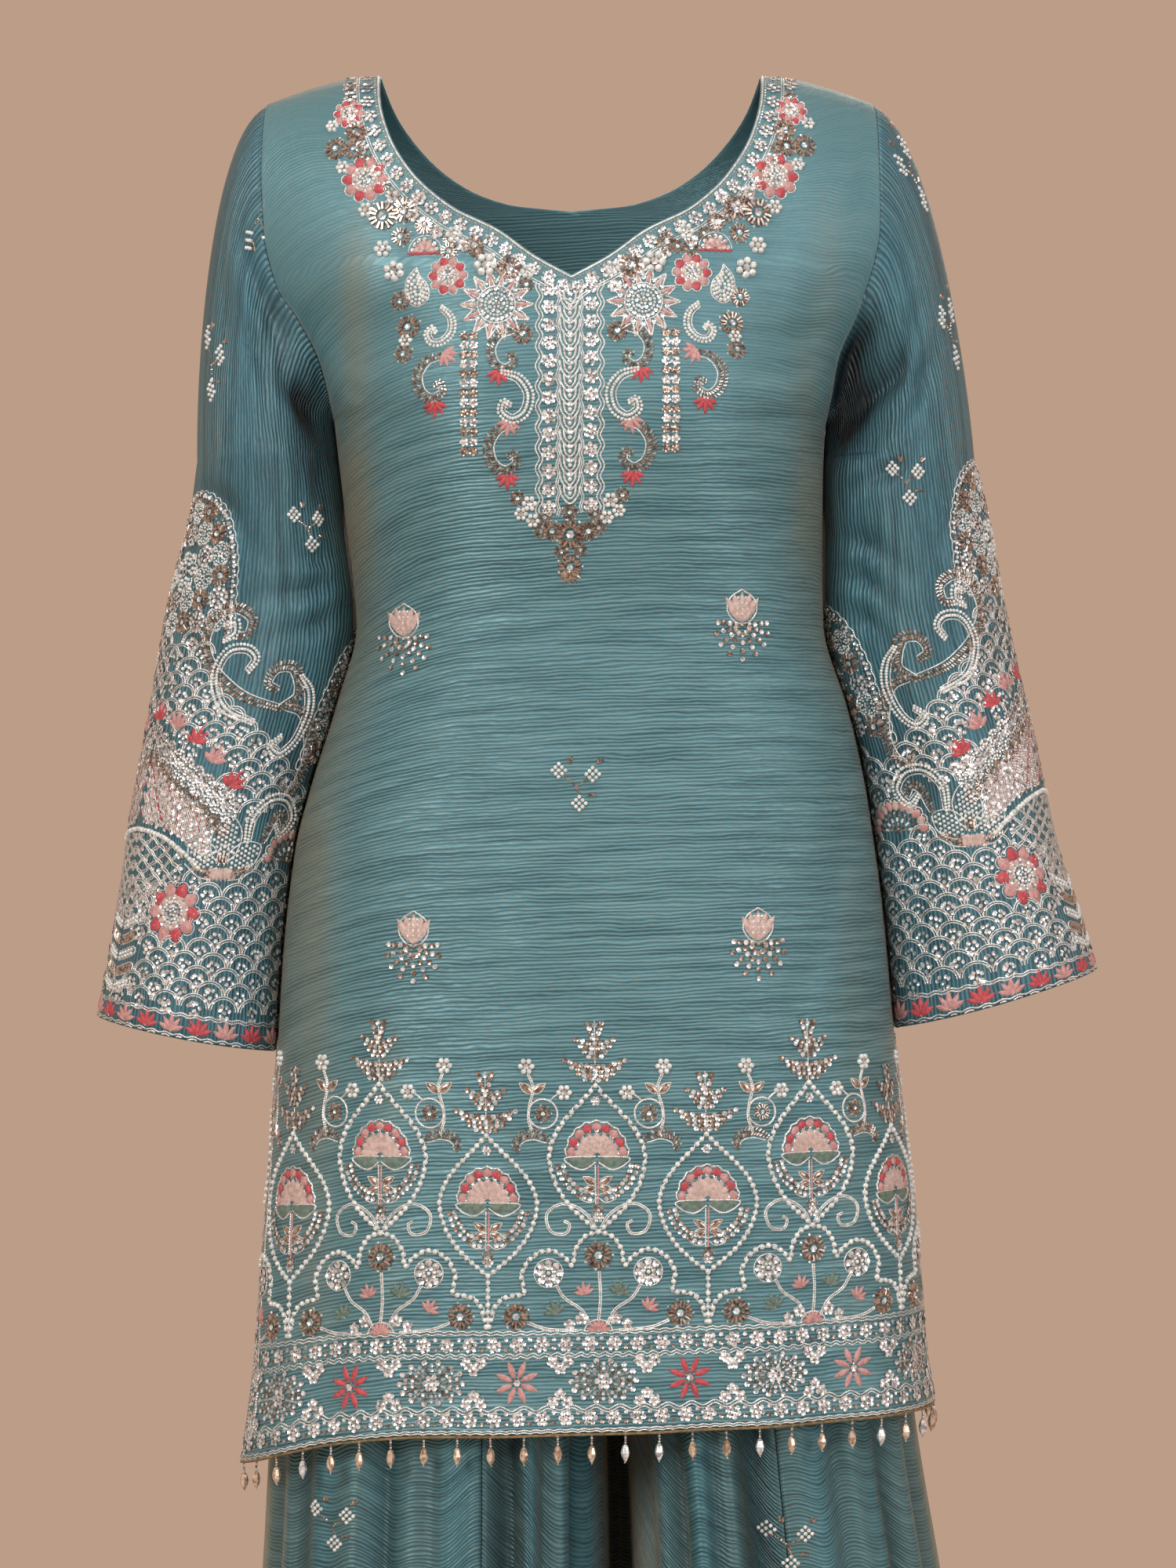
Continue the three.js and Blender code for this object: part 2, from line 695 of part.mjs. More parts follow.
function solidOf(geometry) {
  const bare = geometry.clone();
  bare.deleteAttribute("normal");
  bare.deleteAttribute("uv");
  const merged = mergeVertices(bare, 1e-4);
  return new wasm.Manifold(
    new wasm.Mesh({
      numProp: 3,
      vertProperties: merged.attributes.position.array,
      triVerts: new Uint32Array(merged.index.array),
    }),
  );
}

function geometryOf(solid) {
  const mesh = solid.getMesh();
  const geometry = new THREE.BufferGeometry();
  geometry.setAttribute("position", new THREE.BufferAttribute(mesh.vertProperties, 3));
  geometry.setIndex(new THREE.BufferAttribute(mesh.triVerts, 1));
  return geometry;
}

function fringe(panel, face) {
  const surface = new Surface();
  const inside = face === "front" ? 1 : -1;
  const tops = panel.rowAt(HEM_Z).map(({ point }) => point.clone().setZ(point.z - STRIP.gap));
  const upper = tops.map((p) => surface.add(p));
  const lower = tops.map((p) => surface.add(p.clone().setZ(p.z - STRIP.height)));
  for (let i = 0; i + 1 < tops.length; i += 1) {
    if (inside > 0) surface.cell(lower[i], lower[i + 1], upper[i + 1], upper[i]);
    else surface.cell(lower[i + 1], lower[i], upper[i], upper[i + 1]);
  }
  surface.face();
  let solid = solidOf(surface.wall(CLOTH));
  const lengths = [0];
  for (let i = 1; i < tops.length; i += 1) lengths.push(lengths[i - 1] + tops[i].distanceTo(tops[i - 1]));
  const whole = lengths[lengths.length - 1];
  const profile = [
    [0, 0],
    [DROP.stringHalf, 0],
    [DROP.stringHalf, -DROP.string],
    [DROP.widest, -DROP.widestAt],
    [0, -DROP.end],
  ].map(([r, z]) => new THREE.Vector2(r, z));
  for (let n = 0; n < DROP.count; n += 1) {
    const at = ((n + 0.35) / (DROP.count - 0.3)) * whole;
    let i = 1;
    while (i < tops.length - 1 && lengths[i] < at) i += 1;
    const p = new THREE.Vector3().lerpVectors(
      tops[i - 1],
      tops[i],
      (at - lengths[i - 1]) / (lengths[i] - lengths[i - 1]),
    );
    p.y += inside * (CLOTH / 2);
    const strand = new THREE.LatheGeometry([...profile].reverse(), 4);
    strand.rotateX(Math.PI / 2);
    strand.translate(p.x, p.y, p.z - STRIP.strandIn);
    solid = solid.add(solidOf(strand));
  }
  return geometryOf(solid);
}

const TEAL = { color: 0x4f8d93, roughness: 0.42, metalness: 0.15 };
const TEAL_SHADE = { color: 0x35707c, roughness: 0.45, metalness: 0.12 };
const CRYSTAL = { color: 0xd9b596, roughness: 0.12, metalness: 0.35 };

const suit = new THREE.Group();

function piece(name, geometry, finish) {
  const mesh = new THREE.Mesh(geometry, new THREE.MeshStandardMaterial(finish));
  mesh.name = name;
  suit.add(mesh);
}

const front = bodyPanel("front");
const back = bodyPanel("back");
piece("tunic_front", front.surface.wall(CLOTH), TEAL);
piece("tunic_back", back.surface.wall(CLOTH), TEAL);
piece("sleeve_right", sleeve(-1, front, back).wall(CLOTH), TEAL);
piece("sleeve_left", sleeve(1, front, back).wall(CLOTH), TEAL);
piece("fringe_front", fringe(front, "front"), CRYSTAL);
piece("fringe_back", fringe(back, "back"), CRYSTAL);

for (const [side, name] of [
  [-1, "right"],
  [1, "left"],
]) {
  const fronts = legFronts(side);
  piece(`leg_${name}_front_outer`, fronts.outer.wall(CLOTH), TEAL_SHADE);
  piece(`leg_${name}_front_inner`, fronts.inner.wall(CLOTH), TEAL_SHADE);
  piece(`leg_${name}_back`, legPanel(side, "back", 0, 1).surface.wall(CLOTH), TEAL_SHADE);
}
piece("waistband", waistband(front, back).wall(CLOTH), TEAL_SHADE);

export default suit;
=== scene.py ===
"""The looks of a palazzo suit: a crinkled shot-silk tunic with bead embroidery, bell sleeves and a fringe
of crystal drops, over wide panelled trousers. Sizes in the tables are millimetres, in the frame of the
part: +Z up, the front faces -Y, and the origin is midway between the tops of the shoulder seams."""
import math

import bpy
import numpy as np
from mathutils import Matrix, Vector


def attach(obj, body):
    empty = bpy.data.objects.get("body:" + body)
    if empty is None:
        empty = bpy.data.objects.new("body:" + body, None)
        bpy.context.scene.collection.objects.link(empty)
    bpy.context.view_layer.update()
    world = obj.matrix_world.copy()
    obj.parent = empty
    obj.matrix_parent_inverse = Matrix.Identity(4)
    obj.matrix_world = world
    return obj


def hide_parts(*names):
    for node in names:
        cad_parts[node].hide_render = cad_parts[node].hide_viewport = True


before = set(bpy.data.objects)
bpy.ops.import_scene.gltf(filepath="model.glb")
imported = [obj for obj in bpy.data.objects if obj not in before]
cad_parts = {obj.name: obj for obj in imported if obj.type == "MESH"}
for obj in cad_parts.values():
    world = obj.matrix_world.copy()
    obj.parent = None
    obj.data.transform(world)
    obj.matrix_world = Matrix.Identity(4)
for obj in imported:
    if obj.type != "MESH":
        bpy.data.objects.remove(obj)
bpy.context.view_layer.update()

rng = np.random.default_rng(11)

MM = 0.001

# Driving sizes, as in the solids
SEAM = 0.35

UNDERARM_Z = -215


SLIT_TOP_Z = -575

HEM_Z = -820

SLIT_OPEN = 15

SLEEVE_CLEAR = 2.4

SLEEVE_TUCK = 8

LEG_TOP_Z = -386.35

RISE_TOP_Z = -560

CROTCH_Z = -645

TROUSER_HEM_Z = -1345

CLOTH = 1.2


# Curves and tables
def table(columns, rows):
    return {name: np.array([row[i] for row in rows], float) for i, name in enumerate(columns)}


def along(xs, ys):
    """Smooth monotone curve through points, for arrays."""
    order = np.argsort(xs)
    xs = np.asarray(xs, float)[order]
    ys = np.asarray(ys, float)[order]
    slope = np.diff(ys) / np.diff(xs)
    before, after = slope[:-1], slope[1:]
    total = before + after
    safe = np.where(total == 0, 1, total)
    middle = np.where(before * after <= 0, 0, 2 * before * after / safe)
    tangent = np.concatenate([[slope[0]], middle, [slope[-1]]])

    def curve(x):
        x = np.clip(x, xs[0], xs[-1])
        i = np.clip(np.searchsorted(xs, x, side="right") - 1, 0, len(xs) - 2)
        h = xs[i + 1] - xs[i]
        p = (x - xs[i]) / h
        q = 1 - p
        return (
            ys[i] * (1 + 2 * p) * q * q
            + tangent[i] * h * p * q * q
            + ys[i + 1] * (3 - 2 * p) * p * p
            - tangent[i + 1] * h * p * p * q
        )

    return curve


def clamp01(v):
    return np.clip(v, 0, 1)


def smooth(v):
    v = clamp01(v)
    return v * v * (3 - 2 * v)


def mix(a, b, w):
    return a + (b - a) * w


def bump(d, width):
    return np.exp(-((d / width) ** 2))


def unit(vectors):
    """The vectors along the last axis, made 1 long."""
    return vectors / np.maximum(np.linalg.norm(vectors, axis=-1, keepdims=True), 1e-9)


def rows_of(data):
    """The rows of a table, each with all its columns in order."""
    return zip(*data.values())


# The tunic's form
BODY = table(
    ["z", "centre", "half", "front", "back"],
    [
        [0, -5, 187, 90, 80],
        [-60, -5, 188, 94, 92],
        [-100, -4, 187, 100, 101],
        [-135, -4, 179, 108, 105],
        [-155, -1, 169, 112, 106],
        [-178, 0, 158.5, 115, 105],
        [-200, 1, 154, 117, 103],
        [-215, 1, 151.5, 117.5, 101],
        [-268, 3, 147.5, 112, 93],
        [-338, 7, 144, 99, 88],
        [-389, 8, 157.5, 102, 99],
        [-437, 6, 170.5, 107, 110],
        [-476, 4, 178.5, 110, 117],
        [-529, 4, 185, 113, 121],
        [-605, 5, 191, 116, 122],
        [-709, 7, 201, 120, 125],
        [-787, 7, 207, 123, 128],
        [-825, 7, 213, 126, 131],
        [-865, 6, 216, 128, 133],
    ],
)

body_centre = along(BODY["z"], BODY["centre"])

body_half = along(BODY["z"], BODY["half"])

body_middle = {face: along(BODY["z"], BODY[face]) for face in ("front", "back")}

BODY_SQUARE = 2.45

BUST = {"x": 72, "z": -212, "width": 48, "height": 62, "depth": 9}

SHOULDER = table(["x", "z"], [[0, 0], [114, 0], [135, -1.5], [155, -6], [172, -11.5], [187, -17], [200, -23]])

shoulder_z = along(SHOULDER["x"], SHOULDER["z"])

ROUND_OVER = {"front": 95, "back": 72}

ARMHOLE_DEPTH = {"front": 50, "back": 52}

ARMHOLE_WIDEST_Z = -95

NECK = {
    "front": table(
        ["z", "x"],
        [[-135, 0], [-123, 21.5], [-106.5, 44], [-92.5, 71], [-71, 94], [-46, 108.5], [-22, 115], [0, 117]],
    ),
    "back": table(["z", "x"], [[-70, 0], [-66, 40], [-53, 73], [-33, 97], [-14, 111], [0, 117]]),
}

UPPER_ROWS = {
    "front": table(
        ["inner", "outer"],
        [
            [-215, -215], [-200, -208], [-184, -197], [-167, -181], [-151, -160], [-135, -136],
            [-119, -112], [-104, -89], [-86, -67], [-62, -47], [-34, -32], [0, -17],
        ],
    ),
    "back": table(
        ["inner", "outer"],
        [
            [-215, -215], [-199, -208], [-180, -197], [-158, -181], [-134, -160], [-106, -136],
            [-70, -112], [-66, -89], [-56, -67], [-40, -47], [-19, -32], [0, -17],
        ],
    ),
}

NECK_ROW = {"front": 5, "back": 6}

SKIRT_FOLDS = {
    "front": table(
        ["x", "width", "depth"],
        [[-152, 20, 4.5], [-84, 24, 3.5], [-12, 30, 2.5], [66, 24, 4], [138, 22, 4.5]],
    ),
    "back": table(
        ["x", "width", "depth"], [[-140, 22, 4.5], [-66, 26, 4], [6, 28, 3], [78, 24, 4], [150, 20, 4.5]]
    ),
}

SKIRT_FOLD_TOP_Z = -430

# Creases pressed into the tunic, each a soft trough from one place to another as seen from the front
TUNIC_CREASES = {
    "front": table(
        ["x0", "z0", "x1", "z1", "width", "depth"],
        [
            [154, -158, 96, -176, 5, 3.2],
            [152, -176, 104, -198, 5, 2.6],
            [149, -194, 112, -226, 5, 2.2],
            [158, -140, 118, -150, 5, 2.0],
            [-150, -196, -112, -214, 5, 1.8],
            [-152, -178, -118, -188, 5, 1.5],
            [-112, -60, -118, -190, 9, 1.6],
            [116, -70, 120, -150, 9, 1.4],
            [-140, -330, -84, -341, 4, -1.6],
            [-141, -352, -96, -360, 4, -1.2],
            [146, -322, 92, -333, 4, -1.5],
            [150, -346, 104, -352, 4, -1.2],
            [-60, -338, 30, -344, 4, -0.8],
            [-160, -420, -128, -560, 9, 2.0],
            [158, -430, 136, -600, 9, 1.8],
            [-60, -450, -52, -640, 12, 1.3],
            [48, -440, 56, -610, 12, 1.2],
        ],
    ),
    "back": table(
        ["x0", "z0", "x1", "z1", "width", "depth"],
        [
            [-152, -160, -100, -182, 5, 2.4],
            [150, -168, 104, -186, 5, 2.2],
            [-146, -205, -108, -224, 5, 1.8],
            [-138, -326, -60, -338, 5, -1.6],
            [142, -330, 66, -340, 5, -1.6],
            [-40, -346, 52, -352, 5, -1.0],
            [-154, -420, -124, -580, 9, 2.0],
            [152, -430, 132, -590, 9, 1.8],
        ],
    ),
}


def armhole_depth(face, z):
    down = clamp01((ARMHOLE_WIDEST_Z - z) / (ARMHOLE_WIDEST_Z - UNDERARM_Z))
    depth = ARMHOLE_DEPTH[face] * (1 - down**2.4) ** (1 / 1.8)
    return np.where(z <= UNDERARM_Z, 0, depth)


def creases(rows, x, z):
    """How deep the troughs of a table lie at places seen from the front."""
    total = np.zeros(np.broadcast(x, z).shape)
    for x0, z0, x1, z1, width, depth in rows_of(rows):
        dx, dz = x1 - x0, z1 - z0
        length = math.hypot(dx, dz)
        t = ((x - x0) * dx + (z - z0) * dz) / length**2
        across = ((x - x0) * dz - (z - z0) * dx) / length + 0.05 * length * np.sin(clamp01(t) * 5)
        total += depth * bump(across, width) * bump(t - 0.35, 0.5) * (1 - 0.3 * np.cos(t * 9))
    return total


def body_depth(face, x, z):
    """How far one face of the tunic stands from the middle plane, with its bust, folds and creases."""
    centre, half = body_centre(z), body_half(z)
    u = clamp01(np.abs(x - centre) / half)
    slit = SLIT_OPEN * clamp01((SLIT_TOP_Z - z) / (SLIT_TOP_Z - HEM_Z)) ** 1.3
    edge = armhole_depth(face, z) + slit
    root = mix(BODY_SQUARE, 1, smooth((z - UNDERARM_Z) / 55))
    depth = edge + (body_middle[face](z) - edge) * (1 - u**BODY_SQUARE) ** (1 / root)
    if face == "front":
        off = np.abs(x - centre) - BUST["x"]
        swell = BUST["depth"] * bump(off, BUST["width"]) * bump(z - BUST["z"], BUST["height"])
        depth = depth + swell * (1 - u**6)
    grown = smooth((SKIRT_FOLD_TOP_Z - z) / 330)
    for at, width, deep in rows_of(SKIRT_FOLDS[face]):
        depth = depth - grown * deep * bump(x - centre - at * half / 200, width) * (1 - u**8)
    depth = depth - creases(TUNIC_CREASES[face], x, z) * (1 - u**10)
    below = shoulder_z(np.abs(x + 5)) - z
    turn = 1 - clamp01(below / ROUND_OVER[face])
    return depth * (1 - turn**2.2) ** (1 / 1.9)


def hem_z(x):
    drop = np.maximum(0, -x - 100)
    return HEM_Z + 1 + 0.03 * x - 0.0018 * drop * drop


def on_body(face, x, z):
    away = -1 if face == "front" else 1
    y = away * (body_depth(face, x, z) + SEAM / 2)
    return np.stack(np.broadcast_arrays(x, y, z), -1)


def level_point(face, from_centre, level):
    """A place on the lower tunic, by its distance from the middle and its height in the flat cloth."""
    share = clamp01((level + 600) / (HEM_Z + 600))
    z = level + (hem_z(from_centre) - HEM_Z) * share
    return on_body(face, body_centre(z) + from_centre, z)


# Meshes
def lattice(rows, columns, around=False):
    """Four-cornered faces of a grid of points, wound to face the viewer when rows go up and columns right."""
    r = np.arange(rows - 1)[:, None] * columns
    c = np.arange(columns if around else columns - 1)[None, :]
    n = (c + 1) % columns
    return np.stack([r + c, r + n, r + columns + n, r + columns + c], -1).reshape(-1, 4)


def triangles(quads):
    """Each four-sided face as two triangles."""
    return np.concatenate([quads[:, [0, 1, 2]], quads[:, [0, 2, 3]]])


def between_cells(grid, i, j, right_of_j, down, right):
    """Values inside the cells of a grid, part of the way down from row i and right from column j."""
    upper = grid[i, j] * (1 - right) + grid[i, right_of_j] * right
    lower = grid[i + 1, j] * (1 - right) + grid[i + 1, right_of_j] * right
    return upper * (1 - down) + lower * down


def mark(mesh, name, values):
    """Gives each point of a mesh a number from 0 to 1 for its material to read."""
    attribute = mesh.attributes.new(name, "FLOAT", "POINT")
    attribute.data.foreach_set("value", clamp01(np.ravel(values)).astype(np.float32))


def mesh_object(name, points, faces, uv, bronze=None, materials=(), face_material=None, smooth_faces=None):
    """Makes a piece from arrays in millimetres. faces is an array of triangles or of four-cornered faces."""
    mesh = bpy.data.meshes.new(name)
    corners = faces.shape[1]
    mesh.vertices.add(len(points))
    mesh.vertices.foreach_set("co", (np.asarray(points, float) * MM).ravel())
    mesh.loops.add(faces.size)
    mesh.loops.foreach_set("vertex_index", faces.ravel().astype(np.int32))
    mesh.polygons.add(len(faces))
    mesh.polygons.foreach_set("loop_start", np.arange(len(faces), dtype=np.int32) * corners)
    for material in materials:
        mesh.materials.append(material)
    if face_material is not None:
        mesh.polygons.foreach_set("material_index", np.asarray(face_material, np.int32))
    rounded = np.full(len(faces), True) if smooth_faces is None else smooth_faces
    mesh.polygons.foreach_set("use_smooth", rounded)
    layer = mesh.uv_layers.new(name="cloth")
    layer.data.foreach_set("uv", np.asarray(uv, float)[faces.ravel()].ravel())
    # bronze: how much painted bronze sheen of the shot silk each point takes
    if bronze is not None:
        mark(mesh, "bronze", bronze)
    mesh.update(calc_edges=True)
    mesh.validate()
    piece = bpy.data.objects.new(name, mesh)
    bpy.context.scene.collection.objects.link(piece)
    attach(piece, "root")
    return piece


def shell(piece, thickness=CLOTH):
    """Gives a one-sided sheet its thickness, towards the wearer."""
    solid = piece.modifiers.new("thickness", "SOLIDIFY")
    solid.thickness = thickness * MM
    solid.offset = -1
    solid.use_rim = True


def run_lengths(points, axis):
    """Distance along a grid of points from its first row or column, in metres for a texture."""
    step = np.linalg.norm(np.diff(points, axis=axis), axis=-1)
    zero = np.zeros_like(np.take(step, [0], axis=axis))
    return np.concatenate([zero, np.cumsum(step, axis=axis)], axis=axis) * MM


# Materials
def nodes_of(name):
    material = bpy.data.materials.new(name)
    material.use_nodes = True
    tree = material.node_tree
    return material, tree, tree.nodes["Principled BSDF"]


def add(tree, kind, inputs=(), **settings):
    node = tree.nodes.new(kind)
    for key, value in settings.items():
        setattr(node, key, value)
    for key, value in dict(inputs).items():
        if isinstance(value, bpy.types.NodeSocket):
            tree.links.new(value, node.inputs[key])
        else:
            node.inputs[key].default_value = value
    return node


def math_node(tree, operation, a, b=0.0, clamp=False):
    return add(tree, "ShaderNodeMath", {0: a, 1: b}, operation=operation, use_clamp=clamp).outputs[0]


def blend_colour(tree, factor, a, b, mode="MIX"):
    node = add(tree, "ShaderNodeMix", data_type="RGBA", blend_type=mode)
    for socket, value in ((node.inputs[0], factor), (node.inputs[6], a), (node.inputs[7], b)):
        if isinstance(value, bpy.types.NodeSocket):
            tree.links.new(value, socket)
        else:
            socket.default_value = value
    return node.outputs[2]


def ramp(tree, value, stops):
    node = add(tree, "ShaderNodeValToRGB", {0: value})
    elements = node.color_ramp.elements
    while len(elements) < len(stops):
        elements.new(0.5)
    for element, (at, colour) in zip(elements, stops):
        element.position = at
        element.color = (*colour, 1)
    return node.outputs[0]


# How many cloudy bands of bronze lie in one unit of the pattern, and how dark the painted shade in folds is,
# as a share of the deepest colour
BANDS_PER_UNIT = 3.18
FOLD_SHADE_SHARE = 0.16


def silk(
    name, deep, main, light, bronze, turn=0.0, crease_gap=2.3, from_uv=True, smooth_chest=False, sheen=0.35
):
    """Crushed shot silk: long fine creases across the cloth with painted shade in them and painted highlight
    on their crests, metal threads that glint, and a painted bronze sheen.
    """
    material, tree, shader = nodes_of(name)
    place = add(tree, "ShaderNodeTexCoord").outputs["Object"]
    parts = add(tree, "ShaderNodeSeparateXYZ", {0: place}).outputs
    if from_uv:
        uv = add(tree, "ShaderNodeUVMap", uv_map="cloth").outputs[0]
    else:
        uv = add(tree, "ShaderNodeCombineXYZ", {0: parts[0], 1: parts[2]}).outputs[0]
    turned = add(tree, "ShaderNodeMapping", {"Vector": uv, "Rotation": (0, 0, turn)}).outputs[0]
    per_metre = 1000 / crease_gap

    def streaks(along_cloth, across_cloth, detail, low, high):
        """Noise drawn out along the creases, cut to a range."""
        stretch = {"Vector": turned, "Scale": (along_cloth, across_cloth, 1)}
        drawn = add(tree, "ShaderNodeMapping", stretch).outputs[0]
        grain = {"Vector": drawn, "Scale": 1.0, "Detail": detail}
        noise = add(tree, "ShaderNodeTexNoise", grain, noise_dimensions="2D").outputs["Fac"]
        limits = {"Value": noise, "From Min": low, "From Max": high}
        return add(tree, "ShaderNodeMapRange", limits, clamp=True).outputs[0]

    # Wandering lines a crease apart, broken and joined by longer streaks
    squeezed = add(tree, "ShaderNodeMapping", {"Vector": turned, "Scale": (0.3, 1, 1)}).outputs[0]
    wander = {"Distortion": 8.5, "Detail": 3.0, "Detail Scale": 0.4, "Detail Roughness": 0.62}
    lines = {"Vector": squeezed, "Scale": per_metre / BANDS_PER_UNIT, **wander}
    waves = add(tree, "ShaderNodeTexWave", lines, bands_direction="Y").outputs["Fac"]
    folds = streaks(per_metre * 0.03, per_metre * 0.42, 2.0, 0.3, 0.7)
    relief = math_node(
        tree, "ADD", math_node(tree, "MULTIPLY", waves, 0.6), math_node(tree, "MULTIPLY", folds, 0.4)
    )
    if smooth_chest:
        limits = {"Value": parts[2], "From Min": -0.27, "From Max": -0.13, "To Min": 1.0, "To Max": 0.3}
        kept = add(tree, "ShaderNodeMapRange", limits, clamp=True).outputs[0]
        from_mean = math_node(tree, "SUBTRACT", relief, 0.5)
        relief = math_node(tree, "ADD", math_node(tree, "MULTIPLY", from_mean, kept), 0.5)
    threads = streaks(per_metre * 0.5, per_metre * 4.6, 1.0, 0.5, 0.68)
    clouds = {"Vector": uv, "Scale": 11.0, "Detail": 3.0}
    broad = add(tree, "ShaderNodeTexNoise", clouds, noise_dimensions="2D").outputs["Fac"]

    # Colour: painted shade in the creases and painted highlight on their crests; a painted bronze sheen where
    # the cloth or its metal threads would catch the light, stronger on the crests; painted shade in folds
    cloth = ramp(tree, relief, [(0.1, deep), (0.36, main), (0.9, light)])
    tinted = blend_colour(tree, math_node(tree, "MULTIPLY", broad, 0.3), cloth, (*main, 1))
    # Painted bronze sheen: the mesh's bronze marks and the metal threads, stronger on the crests as painted
    # highlight
    painted_sheen = add(tree, "ShaderNodeAttribute", attribute_name="bronze").outputs["Fac"]
    sheen_and_threads = math_node(tree, "ADD", painted_sheen, math_node(tree, "MULTIPLY", threads, 0.36), clamp=True)
    raised = math_node(tree, "ADD", math_node(tree, "MULTIPLY", relief, 0.6), 0.5)
    shot = blend_colour(tree, math_node(tree, "MULTIPLY", sheen_and_threads, raised), tinted, (*bronze, 1))
    # Painted shade: the colour goes towards a near-black teal where the mesh marks a fold or the hollow below
    # an arm
    shade = add(tree, "ShaderNodeAttribute", attribute_name="shade").outputs["Fac"]
    hollow = tuple(FOLD_SHADE_SHARE * part for part in deep)
    tree.links.new(blend_colour(tree, shade, shot, (*hollow, 1)), shader.inputs["Base Color"])

    # Gloss and relief
    rough = add(tree, "ShaderNodeMapRange", {"Value": broad, "To Min": 0.38, "To Max": 0.52}).outputs[0]
    tree.links.new(rough, shader.inputs["Roughness"])
    shader.inputs["Metallic"].default_value = 0.25
    shader.inputs["Sheen Weight"].default_value = sheen
    shader.inputs["Sheen Roughness"].default_value = 0.3
    shader.inputs["Sheen Tint"].default_value = (0.86, 0.66, 0.4, 1)
    fine = add(tree, "ShaderNodeBump", {"Height": threads, "Strength": 0.25, "Distance": 0.0002}).outputs[0]
    creased = {"Height": relief, "Strength": 0.75, "Distance": 0.0011, "Normal": fine}
    tree.links.new(add(tree, "ShaderNodeBump", creased).outputs[0], shader.inputs["Normal"])
    return material


def bead_material(name, colours, roughness, metallic=0.0, coat=0.0, transmission=0.0, threads=0.0):
    """Beads, cord or stitched silk, its colour varied from place to place, with fine stripes for thread and
    painted shade in their grooves.
    """
    material, tree, shader = nodes_of(name)
    where = add(tree, "ShaderNodeTexCoord").outputs["Object"]
    change = add(tree, "ShaderNodeTexNoise", {"Vector": where, "Scale": 420.0, "Detail": 1.0}).outputs["Fac"]
    limits = {"Value": change, "From Min": 0.35, "From Max": 0.65}
    spread = add(tree, "ShaderNodeMapRange", limits, clamp=True).outputs[0]
    colour = blend_colour(tree, spread, (*colours[0], 1), (*colours[1], 1))
    if threads:
        uv = add(tree, "ShaderNodeUVMap", uv_map="cloth").outputs[0]
        lines = {"Vector": uv, "Scale": threads, "Distortion": 0.4}
        stripes = add(tree, "ShaderNodeTexWave", lines, bands_direction="DIAGONAL").outputs["Fac"]
        # Painted shade in the grooves between threads, where the stripes also sink the relief
        shade = ramp(tree, stripes, [(0.0, (0.55, 0.55, 0.55)), (0.7, (1.0, 1.0, 1.0))])
        colour = blend_colour(tree, 0.75, colour, shade, "MULTIPLY")
        raised = {"Height": stripes, "Strength": 0.6, "Distance": 0.0003}
        bumped = add(tree, "ShaderNodeBump", raised).outputs[0]
        tree.links.new(bumped, shader.inputs["Normal"])
    tree.links.new(colour, shader.inputs["Base Color"])
    worn = {"Value": change, "To Min": roughness * 0.75, "To Max": roughness * 1.3}
    tree.links.new(add(tree, "ShaderNodeMapRange", worn).outputs[0], shader.inputs["Roughness"])
    shader.inputs["Metallic"].default_value = metallic
    shader.inputs["Coat Weight"].default_value = coat
    shader.inputs["Coat Roughness"].default_value = 0.06
    shader.inputs["Transmission Weight"].default_value = transmission
    return material


TUNIC_SILK = silk(
    "tunic_silk",
    deep=(0.02, 0.082, 0.11),
    main=(0.06, 0.19, 0.236),
    light=(0.15, 0.315, 0.365),
    bronze=(0.22, 0.215, 0.145),
    smooth_chest=True,
)

SLEEVE_SILK = silk(
    "sleeve_silk",
    deep=(0.01, 0.055, 0.085),
    main=(0.021, 0.112, 0.158),
    light=(0.066, 0.21, 0.275),
    bronze=(0.17, 0.19, 0.14),
    turn=math.pi / 2,
    crease_gap=2.6,
    sheen=0.12,
)

OUTER_LEG_SILK = silk(
    "trouser_silk_outer",
    deep=(0.011, 0.062, 0.086),
    main=(0.03, 0.145, 0.19),
    light=(0.085, 0.25, 0.3),
    bronze=(0.19, 0.2, 0.14),
)

INNER_LEG_SILK = silk(
    "trouser_silk_inner",
    deep=(0.009, 0.054, 0.078),
    main=(0.024, 0.125, 0.165),
    light=(0.072, 0.225, 0.275),
    bronze=(0.17, 0.185, 0.13),
    turn=0.5,
)

BAND_SILK = silk(
    "waistband_silk",
    deep=(0.016, 0.065, 0.085),
    main=(0.045, 0.15, 0.175),
    light=(0.11, 0.25, 0.27),
    bronze=(0.27, 0.24, 0.13),
    from_uv=False,
)

BINDING = bead_material(
    "bronze_binding", ((0.22, 0.15, 0.07), (0.36, 0.27, 0.14)), 0.4, metallic=0.35, threads=900
)

